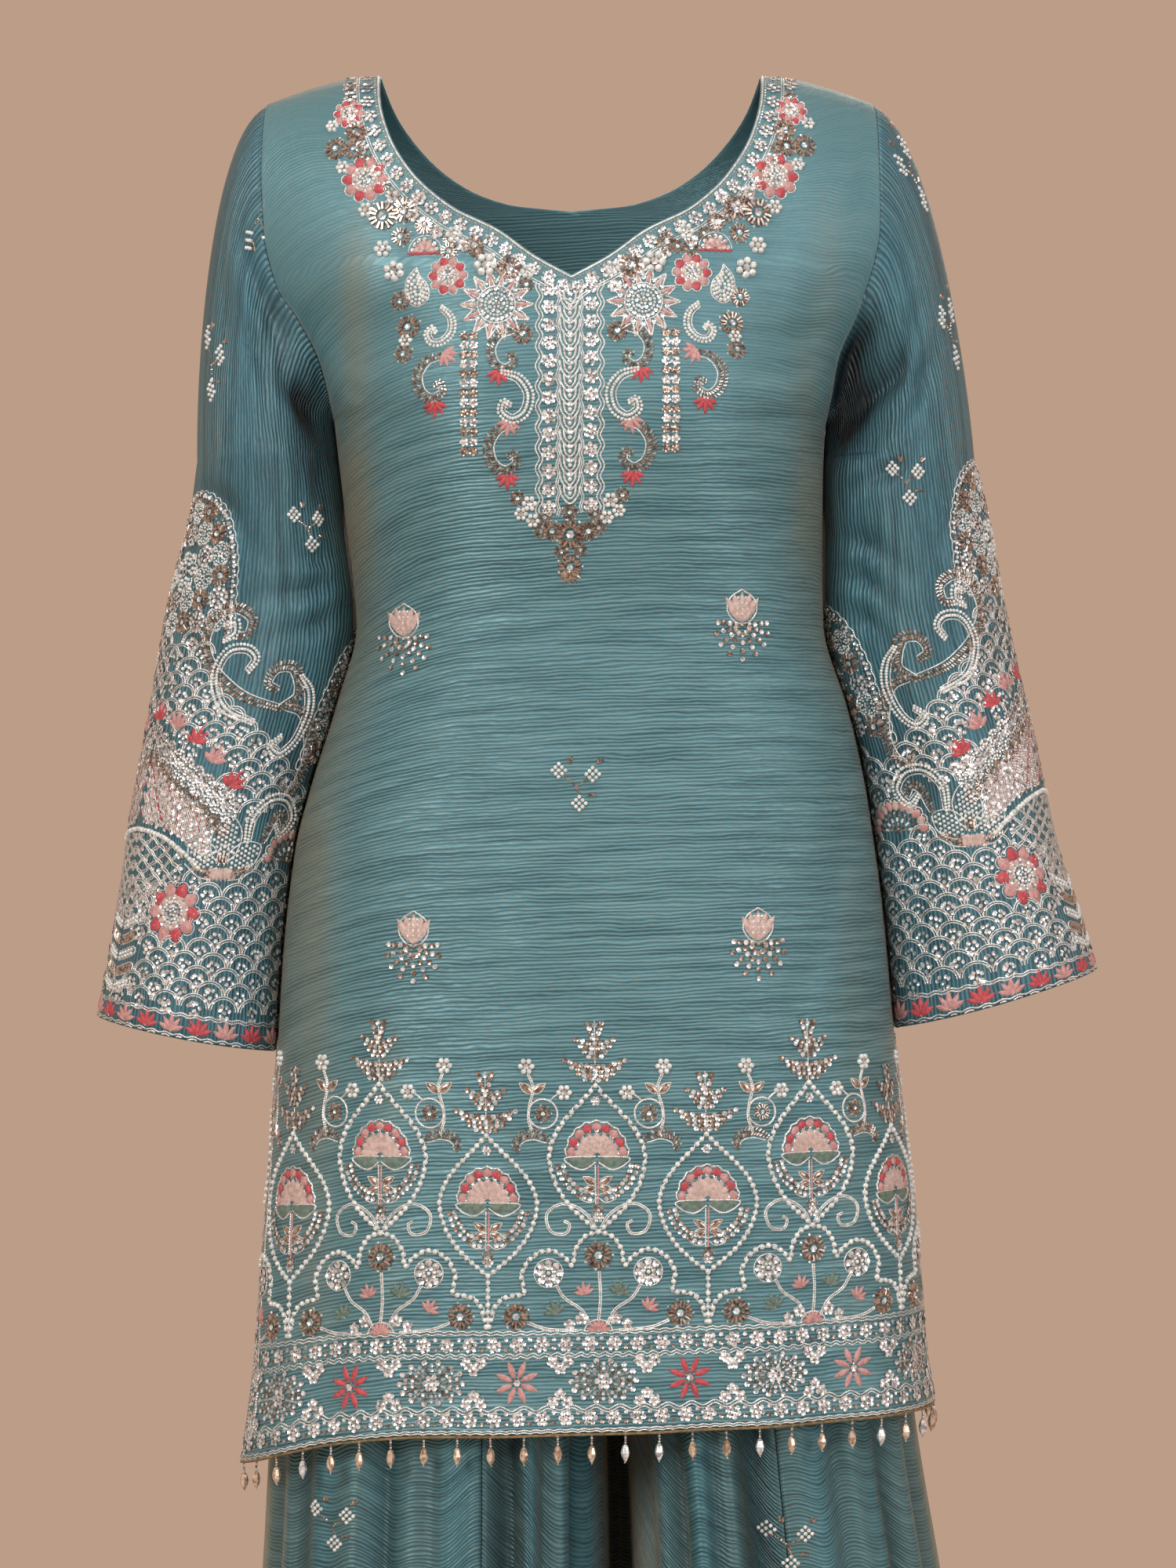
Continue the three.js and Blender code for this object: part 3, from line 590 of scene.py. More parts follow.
BEADS = {
    "silver": bead_material(
        "silver_cord", ((0.60, 0.60, 0.59), (0.93, 0.94, 0.93)), 0.3, metallic=0.6, threads=500
    ),
    "pearl": bead_material("pearl_beads", ((0.46, 0.50, 0.50), (0.76, 0.79, 0.78)), 0.24, coat=0.7),
    "clear": bead_material(
        "clear_sequins", ((0.30, 0.325, 0.34), (0.90, 0.92, 0.95)), 0.2, metallic=0.5, coat=0.6
    ),
    "brown": bead_material(
        "bronze_beads", ((0.15, 0.105, 0.085), (0.54, 0.43, 0.36)), 0.2, metallic=0.65, coat=0.5
    ),
    "coral": bead_material("coral_silk", ((0.44, 0.055, 0.075), (0.62, 0.095, 0.115)), 0.42, threads=620),
    "pink": bead_material("pink_silk", ((0.50, 0.25, 0.245), (0.66, 0.37, 0.36)), 0.42, threads=620),
    "blush": bead_material("blush_silk", ((0.52, 0.38, 0.35), (0.70, 0.54, 0.5)), 0.42, threads=620),
    "sage": bead_material("sage_silk", ((0.10, 0.165, 0.135), (0.18, 0.26, 0.215)), 0.42, threads=620),
    "crystal": bead_material(
        "crystal", ((0.36, 0.22, 0.13), (0.86, 0.72, 0.58)), 0.06, metallic=0.3, coat=1.0, transmission=0.3
    ),
}

KINDS = list(BEADS)


# Cloth of the tunic
# Upright bands of painted bronze sheen on the shot silk: where, half width, top, foot and strength
BRONZE_SHEEN_BANDS = (
    (-134, 10, -80, -330, 0.45),
    (138, 9, -150, -330, 0.32),
    (150, 10, -60, -200, 0.2),
    (-158, 12, -430, -800, 0.3),
    (-112, 9, -560, -800, 0.14),
    (164, 9, -470, -800, 0.1),
)


# Rows of the lower tunic, columns on each side of its middle, and rows between two named ones above
LOWER_ROWS = 112
HALF_COLUMNS = 50
ROWS_BETWEEN = 4


def split_columns(count):
    """Shares of the way from the middle to a side, closer together towards the side."""
    return np.sin(np.linspace(0, 1, count) * math.pi / 2)


def painted_bronze_sheen(x, z):
    """How much painted bronze sheen the tunic takes at places seen from the front: down its sides, where it
    turns away from the view, and in upright bands.
    """
    side_share = np.abs(x - body_centre(z)) / body_half(z)
    painted_sheen = 0.5 * smooth((side_share - 0.76) / 0.24) * smooth((-z - 205) / 60) * smooth((z + 700) / 200)
    painted_sheen = painted_sheen * np.where(x > 0, mix(0.25, 0.8, smooth((z + 420) / 90)), 1)
    for at, width, top, low, amount in BRONZE_SHEEN_BANDS:
        painted_sheen = painted_sheen + amount * bump(x - at, width) * smooth((z - low) / 50) * smooth((top - z) / 50)
    return painted_sheen


def tunic_panel(face):
    """Grid of one tunic panel: whole rows below the neck's lowest point, and two halves above it."""
    levels = np.linspace(HEM_Z, UNDERARM_Z, LOWER_ROWS)
    reach = split_columns(HALF_COLUMNS)
    both = np.concatenate([-reach[:0:-1], reach])
    lower = level_point(face, both[None, :] * body_half(levels)[:, None], levels[:, None])
    rows = UPPER_ROWS[face]
    index = np.arange(len(rows["inner"]))
    near_edges = (NECK_ROW[face] - 0.06, index[-1] - 0.06)
    k = np.sort(np.append(np.linspace(0, index[-1], index[-1] * ROWS_BETWEEN + 1)[1:], near_edges))
    inner_z = np.interp(k, index, rows["inner"])
    outer_z = np.interp(k, index, rows["outer"])
    neck_x = along(NECK[face]["z"], NECK[face]["x"])(inner_z)
    inner_x = np.where(k > NECK_ROW[face], neck_x, 0)
    outer_x = body_half(outer_z)
    inner_below = shoulder_z(inner_x) - inner_z
    outer_below = shoulder_z(outer_x) - outer_z

    def upper(side, chosen):
        from_centre = mix(inner_x[chosen, None], outer_x[chosen, None], reach[None, :])
        below = mix(inner_below[chosen, None], outer_below[chosen, None], reach[None, :])
        z = shoulder_z(from_centre) - below
        return on_body(face, body_centre(z) + side * from_centre, z)

    # Rows that run from side to side, up to the neck's lowest point
    whole = k <= NECK_ROW[face]
    right, left = upper(-1, whole), upper(1, whole)
    grid = np.concatenate([lower, np.concatenate([right[:, :0:-1], left], 1)])
    columns = grid.shape[1]
    lengths = run_lengths(grid, 1)
    lengths = lengths - lengths[:, [HALF_COLUMNS - 1]]
    up = run_lengths(grid, 0)
    points = [grid.reshape(-1, 3)]
    faces = [lattice(len(grid), columns)]
    uvs = [np.stack([lengths, up], -1).reshape(-1, 2)]

    # A half on each side of the neck, joined to the last whole row
    last_row = (len(grid) - 1) * columns
    for side in (-1, 1):
        half = upper(side, ~whole)
        base = sum(len(p) for p in points)
        joined = np.arange(HALF_COLUMNS)[::-1] if side < 0 else np.arange(HALF_COLUMNS - 1, columns)
        joint = last_row + joined
        first = base + np.arange(HALF_COLUMNS)
        link = np.stack([joint[:-1], joint[1:], first[1:], first[:-1]], -1)
        new = np.concatenate([link, lattice(len(half), HALF_COLUMNS) + base])
        points.append(half.reshape(-1, 3))
        faces.append(new[:, ::-1] if side < 0 else new)
        run = run_lengths(half, 1) + (inner_x[~whole] * MM)[:, None]
        rise = up[-1, joined][None, :] + run_lengths(half, 0) + 0.003
        uvs.append(np.stack([side * run, rise], -1).reshape(-1, 2))
    points, faces, uvs = np.concatenate(points), np.concatenate(faces), np.concatenate(uvs)
    if face == "back":
        faces = faces[:, ::-1]
    # The painted bronze sheen of the shot silk at each point
    painted_sheen = painted_bronze_sheen(points[:, 0], points[:, 2])
    piece = mesh_object(f"tunic_{face}_cloth", points, faces, uvs, painted_sheen, [TUNIC_SILK])
    shell(piece)
    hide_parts(f"tunic_{face}")
    return piece


# Sleeves
SLEEVES = {
    -1: table(
        ["outerX", "outerZ", "innerX", "innerZ", "middleY", "depth"],
        [
            [-236, -238, -154, -238, 4, 60],
            [-241, -272, -148, -270, 7, 60],
            [-254, -322, -141, -318, 11, 60],
            [-263, -372, -146, -365, 13, 61],
            [-270, -412, -158, -405, 12, 61],
            [-277, -450, -170, -448, 11, 61],
            [-282, -488, -180, -492, 10, 62],
            [-288, -526, -186, -535, 9, 62],
            [-298, -580, -190, -602, 8, 63],
        ],
    ),
    1: table(
        ["outerX", "outerZ", "innerX", "innerZ", "middleY", "depth"],
        [
            [245, -238, 157, -236, 4, 59],
            [253, -269, 154, -268, 7, 60],
            [263, -320, 154, -322, 11, 61],
            [272, -362, 161, -366, 13, 61],
            [281, -400, 173, -405, 12, 61],
            [289, -440, 183, -447, 11, 61],
            [298, -479, 188, -490, 10, 62],
            [310, -515, 193, -532, 9, 62],
            [321, -551, 198, -588, 8, 63],
        ],
    ),
}

ARMHOLE_CENTRE = np.array([205, 0, -105])

ARM_SLOPE = -0.45

HEAD_TURN = {"leave": 0.5, "arrive": 0.85}
# How the sleeve leans on the tunic just below the arm
LEAN = {"z": -238, "height": 24, "depth": 6}

UNDERARM_FOLD = {"x": 176, "z": -196, "width": 17, "height": 34, "depth": 20}
# Painted shade for the dark hollow that opens below each arm, where the cloth lies in shadow
UNDERARM_SHADE = {
    -1: {"x": -166, "z": -214, "width": 9, "height": 34, "dark": 0.7},
    1: {"x": 166, "z": -202, "width": 11, "height": 32, "dark": 1.5},
}
# Troughs of the sleeves seen from the front, for the wearer's right, then left; the backs take them fainter
SLEEVE_CREASES = {
    -1: table(
        ["x0", "z0", "x1", "z1", "width", "depth"],
        [
            [-196, -128, -172, -196, 7, 6.0],
            [-176, -190, -152, -246, 7, 6.5],
            [-206, -150, -182, -226, 6, 3.0],
            [-170, -236, -148, -286, 6, 4.0],
            [-224, -120, -214, -230, 8, 2.2],
            [-236, -250, -186, -300, 6, 3.0],
            [-150, -312, -196, -326, 5, 3.6],
            [-146, -330, -188, -352, 5, 3.0],
            [-150, -296, -176, -300, 4, 2.6],
            [-246, -330, -214, -420, 9, 2.0],
            [-176, -400, -196, -560, 10, 3.0],
            [-262, -440, -268, -560, 9, 2.0],
        ],
    ),
    1: table(
        ["x0", "z0", "x1", "z1", "width", "depth"],
        [
            [168, -132, 160, -210, 8, 12.0],
            [196, -168, 166, -226, 7, 8.0],
            [218, -166, 180, -236, 6, 3.6],
            [236, -120, 228, -230, 8, 2.0],
            [200, -236, 166, -262, 6, 3.5],
            [158, -284, 204, -308, 5, 3.6],
            [160, -306, 200, -334, 5, 3.4],
            [162, -330, 194, -352, 5, 2.6],
            [250, -250, 214, -300, 6, 2.4],
            [262, -330, 236, -420, 9, 2.0],
            [192, -400, 212, -540, 10, 3.0],
            [292, -430, 300, -530, 9, 2.0],
        ],
    ),
}


def tunic_half(y, z):
    """Half the width of the tunic at a depth and a height."""
    middle = np.where(y < 0, body_middle["front"](z), body_middle["back"](z))
    v = clamp01(np.abs(y) / middle)
    return body_half(z) * (1 - v**BODY_SQUARE) ** (1 / BODY_SQUARE)


def clear_of_tunic(points, side):
    """Moves points of a sleeve out of the tunic's way."""
    x, y, z = points[..., 0], points[..., 1], points[..., 2]
    clear = mix(SEAM, SLEEVE_CLEAR, clamp01((UNDERARM_Z - z) / 25))
    nearest = body_centre(z) + side * (tunic_half(y, z) + clear)
    moved = np.where((z <= UNDERARM_Z) & (side * x < side * nearest), nearest, x)
    return np.stack([moved, y, z], -1)


def pocket(points, side):
    """Sinks the deep fold under the wearer's left arm into the front of that sleeve."""
    if side < 0:
        return points
    x, y, z = points[..., 0], points[..., 1], points[..., 2]
    fold = UNDERARM_FOLD
    deep = fold["depth"] * bump(x - fold["x"], fold["width"]) * bump(z - fold["z"], fold["height"])
    return np.stack([x, np.where(y > 0, y, y + deep), z], -1)


def armhole_curve(side, t, face):
    rows = UPPER_ROWS[face]["outer"]
    z = np.interp(t * (len(rows) - 1), np.arange(len(rows)), rows)
    return on_body(face, body_centre(z) + side * body_half(z), z)


SLEEVE_COLUMNS = 112

HEAD_STEPS = 26

RING_STEPS = 74


def sleeve_ring(side, k, angle):
    """Places on a sleeve below the arm, k rings down its table, round by angle from the outer side."""
    rings = SLEEVES[side]
    index = np.arange(len(rings["depth"]))
    at = {name: along(index, values)(k) for name, values in rings.items()}
    c, s = np.cos(angle), np.sin(angle)
    tuck = SLEEVE_TUCK * np.minimum(1, k / 2) * np.minimum(0, c) ** 2
    x = mix(at["innerX"], at["outerX"], (1 + c) / 2) - side * tuck
    z = mix(at["innerZ"], at["outerZ"], (1 + c) / 2)
    y = at["middleY"] - at["depth"] * s
    points = np.stack(np.broadcast_arrays(x, y, z), -1)
    return clear_of_tunic(pocket(points, side), side)


def sleeve_grid(side):
    """Points of a sleeve, in rings from the armhole to the cuff, and the painted shade of each: deeper in a
    fold, darkest in the hollow below the arm.
    """
    turn = np.arange(SLEEVE_COLUMNS) / SLEEVE_COLUMNS * 2
    in_front = turn <= 1
    t = np.where(in_front, turn, 2 - turn)
    starts = np.where(in_front[:, None], armhole_curve(side, t, "front"), armhole_curve(side, t, "back"))
    seam = (t == 0) | (t == 1)
    starts[seam, 1] = 0
    tangent = unit(np.roll(starts, -1, 0) - np.roll(starts, 1, 0))
    away = ARMHOLE_CENTRE * [side, 1, 1] - starts
    away = unit(away - tangent * (away * tangent).sum(1, keepdims=True))
    starts = starts + away * np.where(seam, SEAM + 0.25, SEAM + 0.1)[:, None]
    angle = np.where(in_front, 1 - turn, -(turn - 1)) * math.pi
    ends = sleeve_ring(side, 0, angle)

    # The head of the sleeve curves from the armhole into the first ring of the table
    rings = SLEEVES[side]
    first, second = (
        np.array([rings["outerX"][i] + rings["innerX"][i], 0, rings["outerZ"][i] + rings["innerZ"][i]])
        for i in (0, 1)
    )
    far = np.linalg.norm(ends - starts, axis=1, keepdims=True)
    leave = np.stack([np.full_like(angle, side), 0.3 * np.sin(angle), np.full_like(angle, ARM_SLOPE)], -1)
    leave = unit(leave) * HEAD_TURN["leave"] * far
    arrive = unit(second - first) * HEAD_TURN["arrive"] * far
    head = []
    for q in np.arange(HEAD_STEPS) / HEAD_STEPS:
        p = starts * (1 + 2 * q) * (1 - q) ** 2 + leave * q * (1 - q) ** 2
        p = p + ends * (3 - 2 * q) * q * q - arrive * q * q * (1 - q)
        head.append(p if q == 0 else clear_of_tunic(pocket(p, side), side))
    k = np.linspace(0, len(rings["depth"]) - 1, RING_STEPS)
    body = sleeve_ring(side, k[:, None], angle[None, :])
    return crease_sleeve(np.concatenate([np.stack(head), body]), side)


def crease_sleeve(grid, side):
    """Presses the creases and a fine ruffle into a sleeve, leans it on the tunic below the arm, and gives
    each point its painted shade, darkest in the hollow below the arm.
    """
    x, y, z = grid[..., 0], grid[..., 1], grid[..., 2]
    deep = creases(SLEEVE_CREASES[side], x, z)
    around = np.roll(grid, -1, 1) - np.roll(grid, 1, 1)
    normal = unit(np.cross(around, np.gradient(grid, axis=0)) * side)
    centre = grid.mean(1, keepdims=True)
    normal = np.where(((grid - centre) * normal).sum(-1, keepdims=True) < 0, -normal, normal)
    facing = clamp01(np.abs(normal[..., 1]) * 1.6 - 0.25)
    held = smooth(np.arange(len(grid)) / 9)[:, None]
    ruffle = 0.5 * np.sin(x * 0.31 + z * 0.05) * np.sin(z * 0.021 + x * 0.04)
    ruffle = ruffle + 0.35 * np.sin(x * 0.62 - z * 0.03)
    deep = deep * np.where(y < 8, 1, 0.6) * facing + (0.5 + ruffle) * 0.8 * facing
    made = grid - normal * (deep * held)[..., None]
    inner = clamp01(-side * (x - centre[..., 0]) / 40)
    made[..., 0] -= side * LEAN["depth"] * inner * bump(z - LEAN["z"], LEAN["height"])
    # Painted shade that deepens with each fold, and painted shade of the hollow below the arm on the front of
    # the sleeve
    hollow = UNDERARM_SHADE[side]
    dark = hollow["dark"] * bump(x - hollow["x"], hollow["width"]) * bump(z - hollow["z"], hollow["height"])
    return made, 0.5 * clamp01(deep * held / 7) + dark * (y < 10)


def sleeve_cloth(side, name):
    grid, shade = sleeve_grid(side)
    rows, columns = grid.shape[:2]
    wrapped = np.concatenate([grid, grid[:, :1]], 1)
    across = np.tile(run_lengths(wrapped, 1).mean(0), (rows, 1))
    down = run_lengths(wrapped, 0).mean(1, keepdims=True) + 0 * across
    faces = lattice(rows, columns + 1)
    if side > 0:
        faces = faces[:, ::-1]
    uv = np.stack([across, down], -1).reshape(-1, 2)
    # Painted bronze sheen of the shot silk, in faint bands round the sleeve
    painted_sheen = 0.1 * np.sin(across * 60) ** 2
    piece = mesh_object(f"{name}_cloth", wrapped.reshape(-1, 3), faces, uv, painted_sheen, [SLEEVE_SILK])
    # Painted shade of the sleeve, deeper in folds and darkest below the arm
    mark(piece.data, "shade", np.concatenate([shade, shade[:, :1]], 1))
    weld = piece.modifiers.new("join", "WELD")
    weld.merge_threshold = 0.00002
    shell(piece)
    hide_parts(name)
    return piece


# Trousers
TROUSERS = table(
    ["z", "centre", "half", "front", "back", "split", "gap"],
    [
        [LEG_TOP_Z, 8, 154.5, 99.4, 96.2, 8, 0.2],
        [-437, 6, 163, 101, 104, 6, 0.3],
        [-476, 4, 170, 103, 110, 5, 0.3],
        [-529, 4, 176, 105, 113, 5, 0.3],
        [-605, 5, 181, 107, 114, 7, 0.4],
        [-709, 7, 189, 110, 116, 12, 3],
        [-787, 8, 195, 112, 118, 19, 5],
        [-830, 9, 199, 113, 119, 23, 6],
        [-920, 14, 209, 117, 123, 26, 7],
        [-1040, 19, 224, 123, 130, 28, 9],
        [-1190, 23, 244, 132, 140, 29, 11],
        [TROUSER_HEM_Z, 25, 266, 142, 150, 30, 13],
    ],
)

trouser = {name: along(TROUSERS["z"], TROUSERS[name]) for name in TROUSERS if name != "z"}

INNER_TURN = 58

LEGS_MEET = {"at": 0.45, "reach": 0.3, "apart": -0.4}

FOLD_START_Z = -640

FOLDS = {
    -1: table(
        ["at", "width", "depth"],
        [
            [0.12, 0.035, 5],
            [0.225, 0.03, 7],
            [0.405, 0.03, 9],
            [0.5, 0.022, 4],
            [0.64, 0.04, 17],
            [0.725, 0.022, 7],
            [0.83, 0.03, 8],
        ],
    ),
    1: table(
        ["at", "width", "depth"],
        [
            [0.12, 0.03, 5],
            [0.24, 0.03, 9],
            [0.37, 0.026, 6],
            [0.55, 0.04, 17],
            [0.65, 0.022, 7],
            [0.75, 0.03, 9],
            [0.86, 0.03, 6],
        ],
    ),
}

BACK_FOLDS = table(
    ["at", "width", "depth"],
    [
        [0.14, 0.035, 6],
        [0.28, 0.035, 9],
        [0.43, 0.035, 10],
        [0.58, 0.035, 9],
        [0.72, 0.035, 10],
        [0.86, 0.03, 6],
    ],
)

FRONT_SEAM = {-1: 0.59, 1: 0.5}


def leg_outline(side, face, f, z):
    centre = trouser["centre"](z)
    half = trouser["half"](z)
    outer = centre + side * half
    inner = trouser["split"](z) + side * trouser["gap"](z)
    closed = smooth((RISE_TOP_Z - z) / (RISE_TOP_Z - CROTCH_Z))
    spread = mix(1 - np.cos(f * math.pi / 2), (1 - np.cos(f * math.pi)) / 2, closed)
    x = mix(outer, inner, spread)
    u = clamp01(np.abs(x - centre) / half)
    to_inner = clamp01(np.abs(x - inner) / INNER_TURN)
    turn = mix(1, (1 - (1 - to_inner) ** 2.3) ** (1 / 2.3), closed)
    depth = trouser[face](z) * (1 - u**BODY_SQUARE) ** (1 / BODY_SQUARE) * turn
    if face == "front":
        return np.stack(np.broadcast_arrays(x, -depth - SEAM / 2, z), -1)
    level = (depth / trouser["back"](z) - LEGS_MEET["at"]) / LEGS_MEET["reach"]
    near = closed * clamp01(1 - level**2) ** 2 * smooth((f - 0.6) / 0.2)
    x = mix(x, trouser["split"](z) + side * LEGS_MEET["apart"], near)
    return np.stack(np.broadcast_arrays(x, depth + SEAM / 2, z), -1)


def leg_point(side, face, f, z):
    """A place on a leg, a share f of the way from its outer to its inner edge, with its folds."""
    f, z = np.broadcast_arrays(f, z)
    before, after = np.maximum(0, f - 0.004), np.minimum(1, f + 0.004)
    way = unit(leg_outline(side, face, after, z) - leg_outline(side, face, before, z))
    turn = side if face == "front" else -side
    inward = np.stack([turn * way[..., 1], -turn * way[..., 0], 0 * f], -1)
    lower = clamp01((-900 - z) / 445)
    grown = smooth((FOLD_START_Z - z) / 260) * (1 + 0.7 * lower)
    deep = 0 * f
    for at, width, depth in rows_of(FOLDS[side] if face == "front" else BACK_FOLDS):
        sway = 0.006 * np.sin(z * 0.011 + at * 40)
        deep = deep + grown * depth * bump(f - at - sway, width * (1 + 0.15 * lower))
    deep = deep + grown * 0.9 * (1 + np.sin(f * 74 + 2 * np.sin(z * 0.009))) * np.sin(f * math.pi)
    hold = smooth(f / 0.06) * (smooth((1 - f) / 0.06) if face == "front" else smooth((0.9 - f) / 0.2))
    return leg_outline(side, face, f, z) + inward * (deep * hold)[..., None]


def leg_panel(name, side, face, start, end, columns, material):
    """One panel of a leg, between two shares of the way from its outer to its inner edge."""
    z = np.concatenate([np.linspace(LEG_TOP_Z, -780, 20)[:-1], np.linspace(-780, TROUSER_HEM_Z, 56)])
    edge = SEAM / 2 / 160
    f = np.linspace(start + (edge if start > 0 else 0), end - (edge if end < 1 else 0), columns)
    grid = leg_point(side, face, f[None, :], z[:, None])
    turn = side if face == "front" else -side
    faces = lattice(len(z), columns)
    if turn < 0:
        faces = faces[:, ::-1]
    across = run_lengths(grid, 1)
    sunk = np.linalg.norm(grid - leg_outline(side, face, f[None, :], z[:, None]), axis=-1)
    swags = run_lengths(grid, 0) + 0.007 * np.sin(f * 21 + 1.2)[None, :] + 0.003 * np.sin(f * 57)[None, :]
    uv = np.stack([side * across if face == "front" else across, swags], -1).reshape(-1, 2)
    # Painted bronze sheen of the shot silk: strongest at the outer edge, where the leg turns away from the
    # view, and in bands
    painted_sheen = 0.35 * smooth(1 - f / 0.25)[None, :] + 0.18 * np.sin(f * 23)[None, :] ** 2 + 0 * across
    piece = mesh_object(f"{name}_cloth", grid.reshape(-1, 3), faces, uv, painted_sheen, [material])
    # Painted shade, darker the deeper the cloth lies in a fold
    mark(piece.data, "shade", 0.6 * clamp01(sunk / 13))
    shell(piece)
    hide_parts(name)
    return piece


def polar(reach, turn):
    return reach * math.cos(turn), reach * math.sin(turn)


# Bead work, drawn flat in millimetres and then laid on the cloth
class Work:
    """Beads, cords and stitched petals of one piece of bead work."""

    def __init__(self):
        self.beads = []
        self.cords = []
        self.petals = []


class Pen:
    """Draws on a Work at a place of its own, turned, scaled or mirrored."""

    def __init__(self, work, matrix=None, origin=(0, 0)):
        self.work = work
        self.matrix = np.eye(2) if matrix is None else matrix
        self.origin = np.asarray(origin, float)

    def at(self, x, y, turn=0.0, scale=1.0, flip=1):
        c, s = math.cos(turn), math.sin(turn)
        local = np.array([[c, -s], [s, c]]) @ np.diag([scale * flip, scale])
        return Pen(self.work, self.matrix @ local, self.origin + self.matrix @ [x, y])

    def mirrored(self, x=0, y=0):
        """This pen twice, facing each way."""
        return [self.at(x, y, flip=flip) for flip in (-1, 1)]

    def around(self, count, start=0.0):
        """This pen turned to each of so many even directions."""
        return [self.at(0, 0, turn=start + i * math.tau / count) for i in range(count)]

    def flat(self, points):
        return np.asarray(points, float) @ self.matrix.T + self.origin

    def size(self):
        return math.sqrt(abs(np.linalg.det(self.matrix)))

    def angle(self, turn):
        way = self.matrix @ [math.cos(turn), math.sin(turn)]
        return math.atan2(way[1], way[0])

    def bead(self, form, kind, x, y, radius, turn=0.0, length=0.0):
        u, v = self.flat((x, y))
        s = self.size()
        self.work.beads.append((form, kind, u, v, radius * s, self.angle(turn), length * s))

    def ring(self, form, kind, count, reach, radius, start=0.0):
        """Beads evenly round the pen's place."""
        for i in range(count):
            self.bead(form, kind, *polar(reach, start + i * math.tau / count), radius)

    def cord(self, kind, points, width=0.9):
        self.work.cords.append((kind, self.flat(points), width))

    def petal(self, kind, x, y, turn, length, width, height=0.9):
        u, v = self.flat((x, y))
        s = self.size()
        self.work.petals.append((kind, u, v, self.angle(turn), length * s, width * s, height))


def curved(points, step=1.8):
    """A smooth line through a few points, with points every step along it."""
    p = np.asarray(points, float)
    p = np.concatenate([[2 * p[0] - p[1]], p, [2 * p[-1] - p[-2]]])
    t = np.linspace(0, 1, 12, endpoint=False)[:, None]
    pieces = []
    for a, b, c, d in zip(p[:-3], p[1:-2], p[2:-1], p[3:]):
        square = (2 * a - 5 * b + 4 * c - d) * t**2
        cube = (3 * b - a - 3 * c + d) * t**3
        pieces.append(0.5 * (2 * b + (c - a) * t + square + cube))
    return stepped(np.concatenate(pieces + [p[-2:-1]]), step)


def stepped(points, step):
    """Points every step along a line."""
    p = np.asarray(points, float)
    lengths = np.concatenate([[0], np.cumsum(np.linalg.norm(np.diff(p, axis=0), axis=1))])
    count = max(2, int(round(lengths[-1] / step)) + 1)
    at = np.linspace(0, lengths[-1], count)
    return np.stack([np.interp(at, lengths, p[:, i]) for i in (0, 1)], -1)


def arc(x, y, radius, start, end, step=1.8, squash=1.0):
    """Part of a circle, flattened by squash, with points about every step."""
    count = max(3, int(abs(end - start) * radius / step) + 1)
    t = np.linspace(start, end, count)
    return np.stack([x + radius * np.cos(t), y + radius * squash * np.sin(t)], -1)


def beside(points, gap):
    """The line that runs beside another at a gap."""
    way = unit(np.gradient(np.asarray(points, float), axis=0))
    return points + np.stack([-way[:, 1], way[:, 0]], -1) * gap


def double_cord(pen, kind, points, gap=0.7, width=0.75):
    pen.cord(kind, beside(points, gap), width)
    pen.cord(kind, beside(points, -gap), width)


def string(pen, form, kind, points, gap, radius, jitter=0.12):
    for x, y in stepped(points, gap):
        pen.bead(form, kind, x, y, radius * (1 + jitter * rng.uniform(-1, 1)), rng.uniform(0, 6))


# Motifs
def rosette(pen, r):
    """Six sequins round one, each held by a bead."""
    pen.ring("cup", "clear", 6, 0.64 * r, 0.35 * r)
    pen.ring("cut", "silver", 3, 0.64 * r, 0.13 * r)
    pen.ring("cut", "brown", 3, 0.64 * r, 0.13 * r, math.pi / 3)
    pen.bead("cup", "clear", 0, 0, 0.35 * r)
    pen.bead("cut", "silver", 0, 0, 0.13 * r)


def floret(pen, r, kind="clear", heart="brown"):
    """Five sequins round a bead."""
    pen.ring("cup", kind, 5, 0.58 * r, 0.42 * r, 0.3)
    pen.bead("dome", heart, 0, 0, 0.26 * r)


def pearl_flower(pen, r, kind="pearl"):
    """Six pearls round a sequin."""
    pen.ring("dome", kind, 6, 0.6 * r, 0.32 * r)
    pen.bead("cup", "silver", 0, 0, 0.34 * r)


def bead_flower(pen, r, kind="brown"):
    """Seven petals, each of two long beads with a small one at its tip, round a sequin."""
    for petal in pen.around(7):
        for side in (-0.17, 0.17):
            petal.bead("tube", kind, 0.64 * r, side * r, 0.145 * r, 1.6 * side, 0.56 * r)
    pen.ring("cut", "clear", 7, 0.98 * r, 0.13 * r)
    pen.bead("cup", "clear", 0, 0, 0.27 * r)
    pen.bead("cut", "silver", 0, 0, 0.13 * r)


def daisy(pen, r, kind):
    """Eight silk petals round a sequin and five beads."""
    for petal in pen.around(8, math.pi / 8):
        petal.petal(kind, 0.2 * r, 0, 0, 0.82 * r, 0.3 * r, 0.9)
    pen.bead("cup", "clear", 0, 0, 0.17 * r)
    pen.ring("cut", "brown", 5, 0.17 * r, 0.07 * r)


def snowflake(pen, wide, high):
    """Fourteen rays of beads, brown and silver by turns, each ending in a sequin."""
    for i in range(14):
        turn = i * math.tau / 14
        c, s = wide * math.cos(turn), high * math.sin(turn)
        along_ray = math.atan2(s, c)
        kind = ("brown", "silver")[i % 2]
        for k in range(3):
            at = 0.42 + 0.2 * k
            pen.bead("tube", kind, at * c, at * s, 0.9, along_ray, 0.18 * math.hypot(c, s))
        pen.bead("cup", "clear", 0.98 * c, 0.98 * s, 1.8)
        side = turn + math.pi / 14
        for at, size in ((0.82, 1.3), (0.6, 1.2)):
            pen.bead("cup", "clear", at * wide * math.cos(side), at * high * math.sin(side), size)
    rosette(pen, 0.34 * (wide + high) / 2)


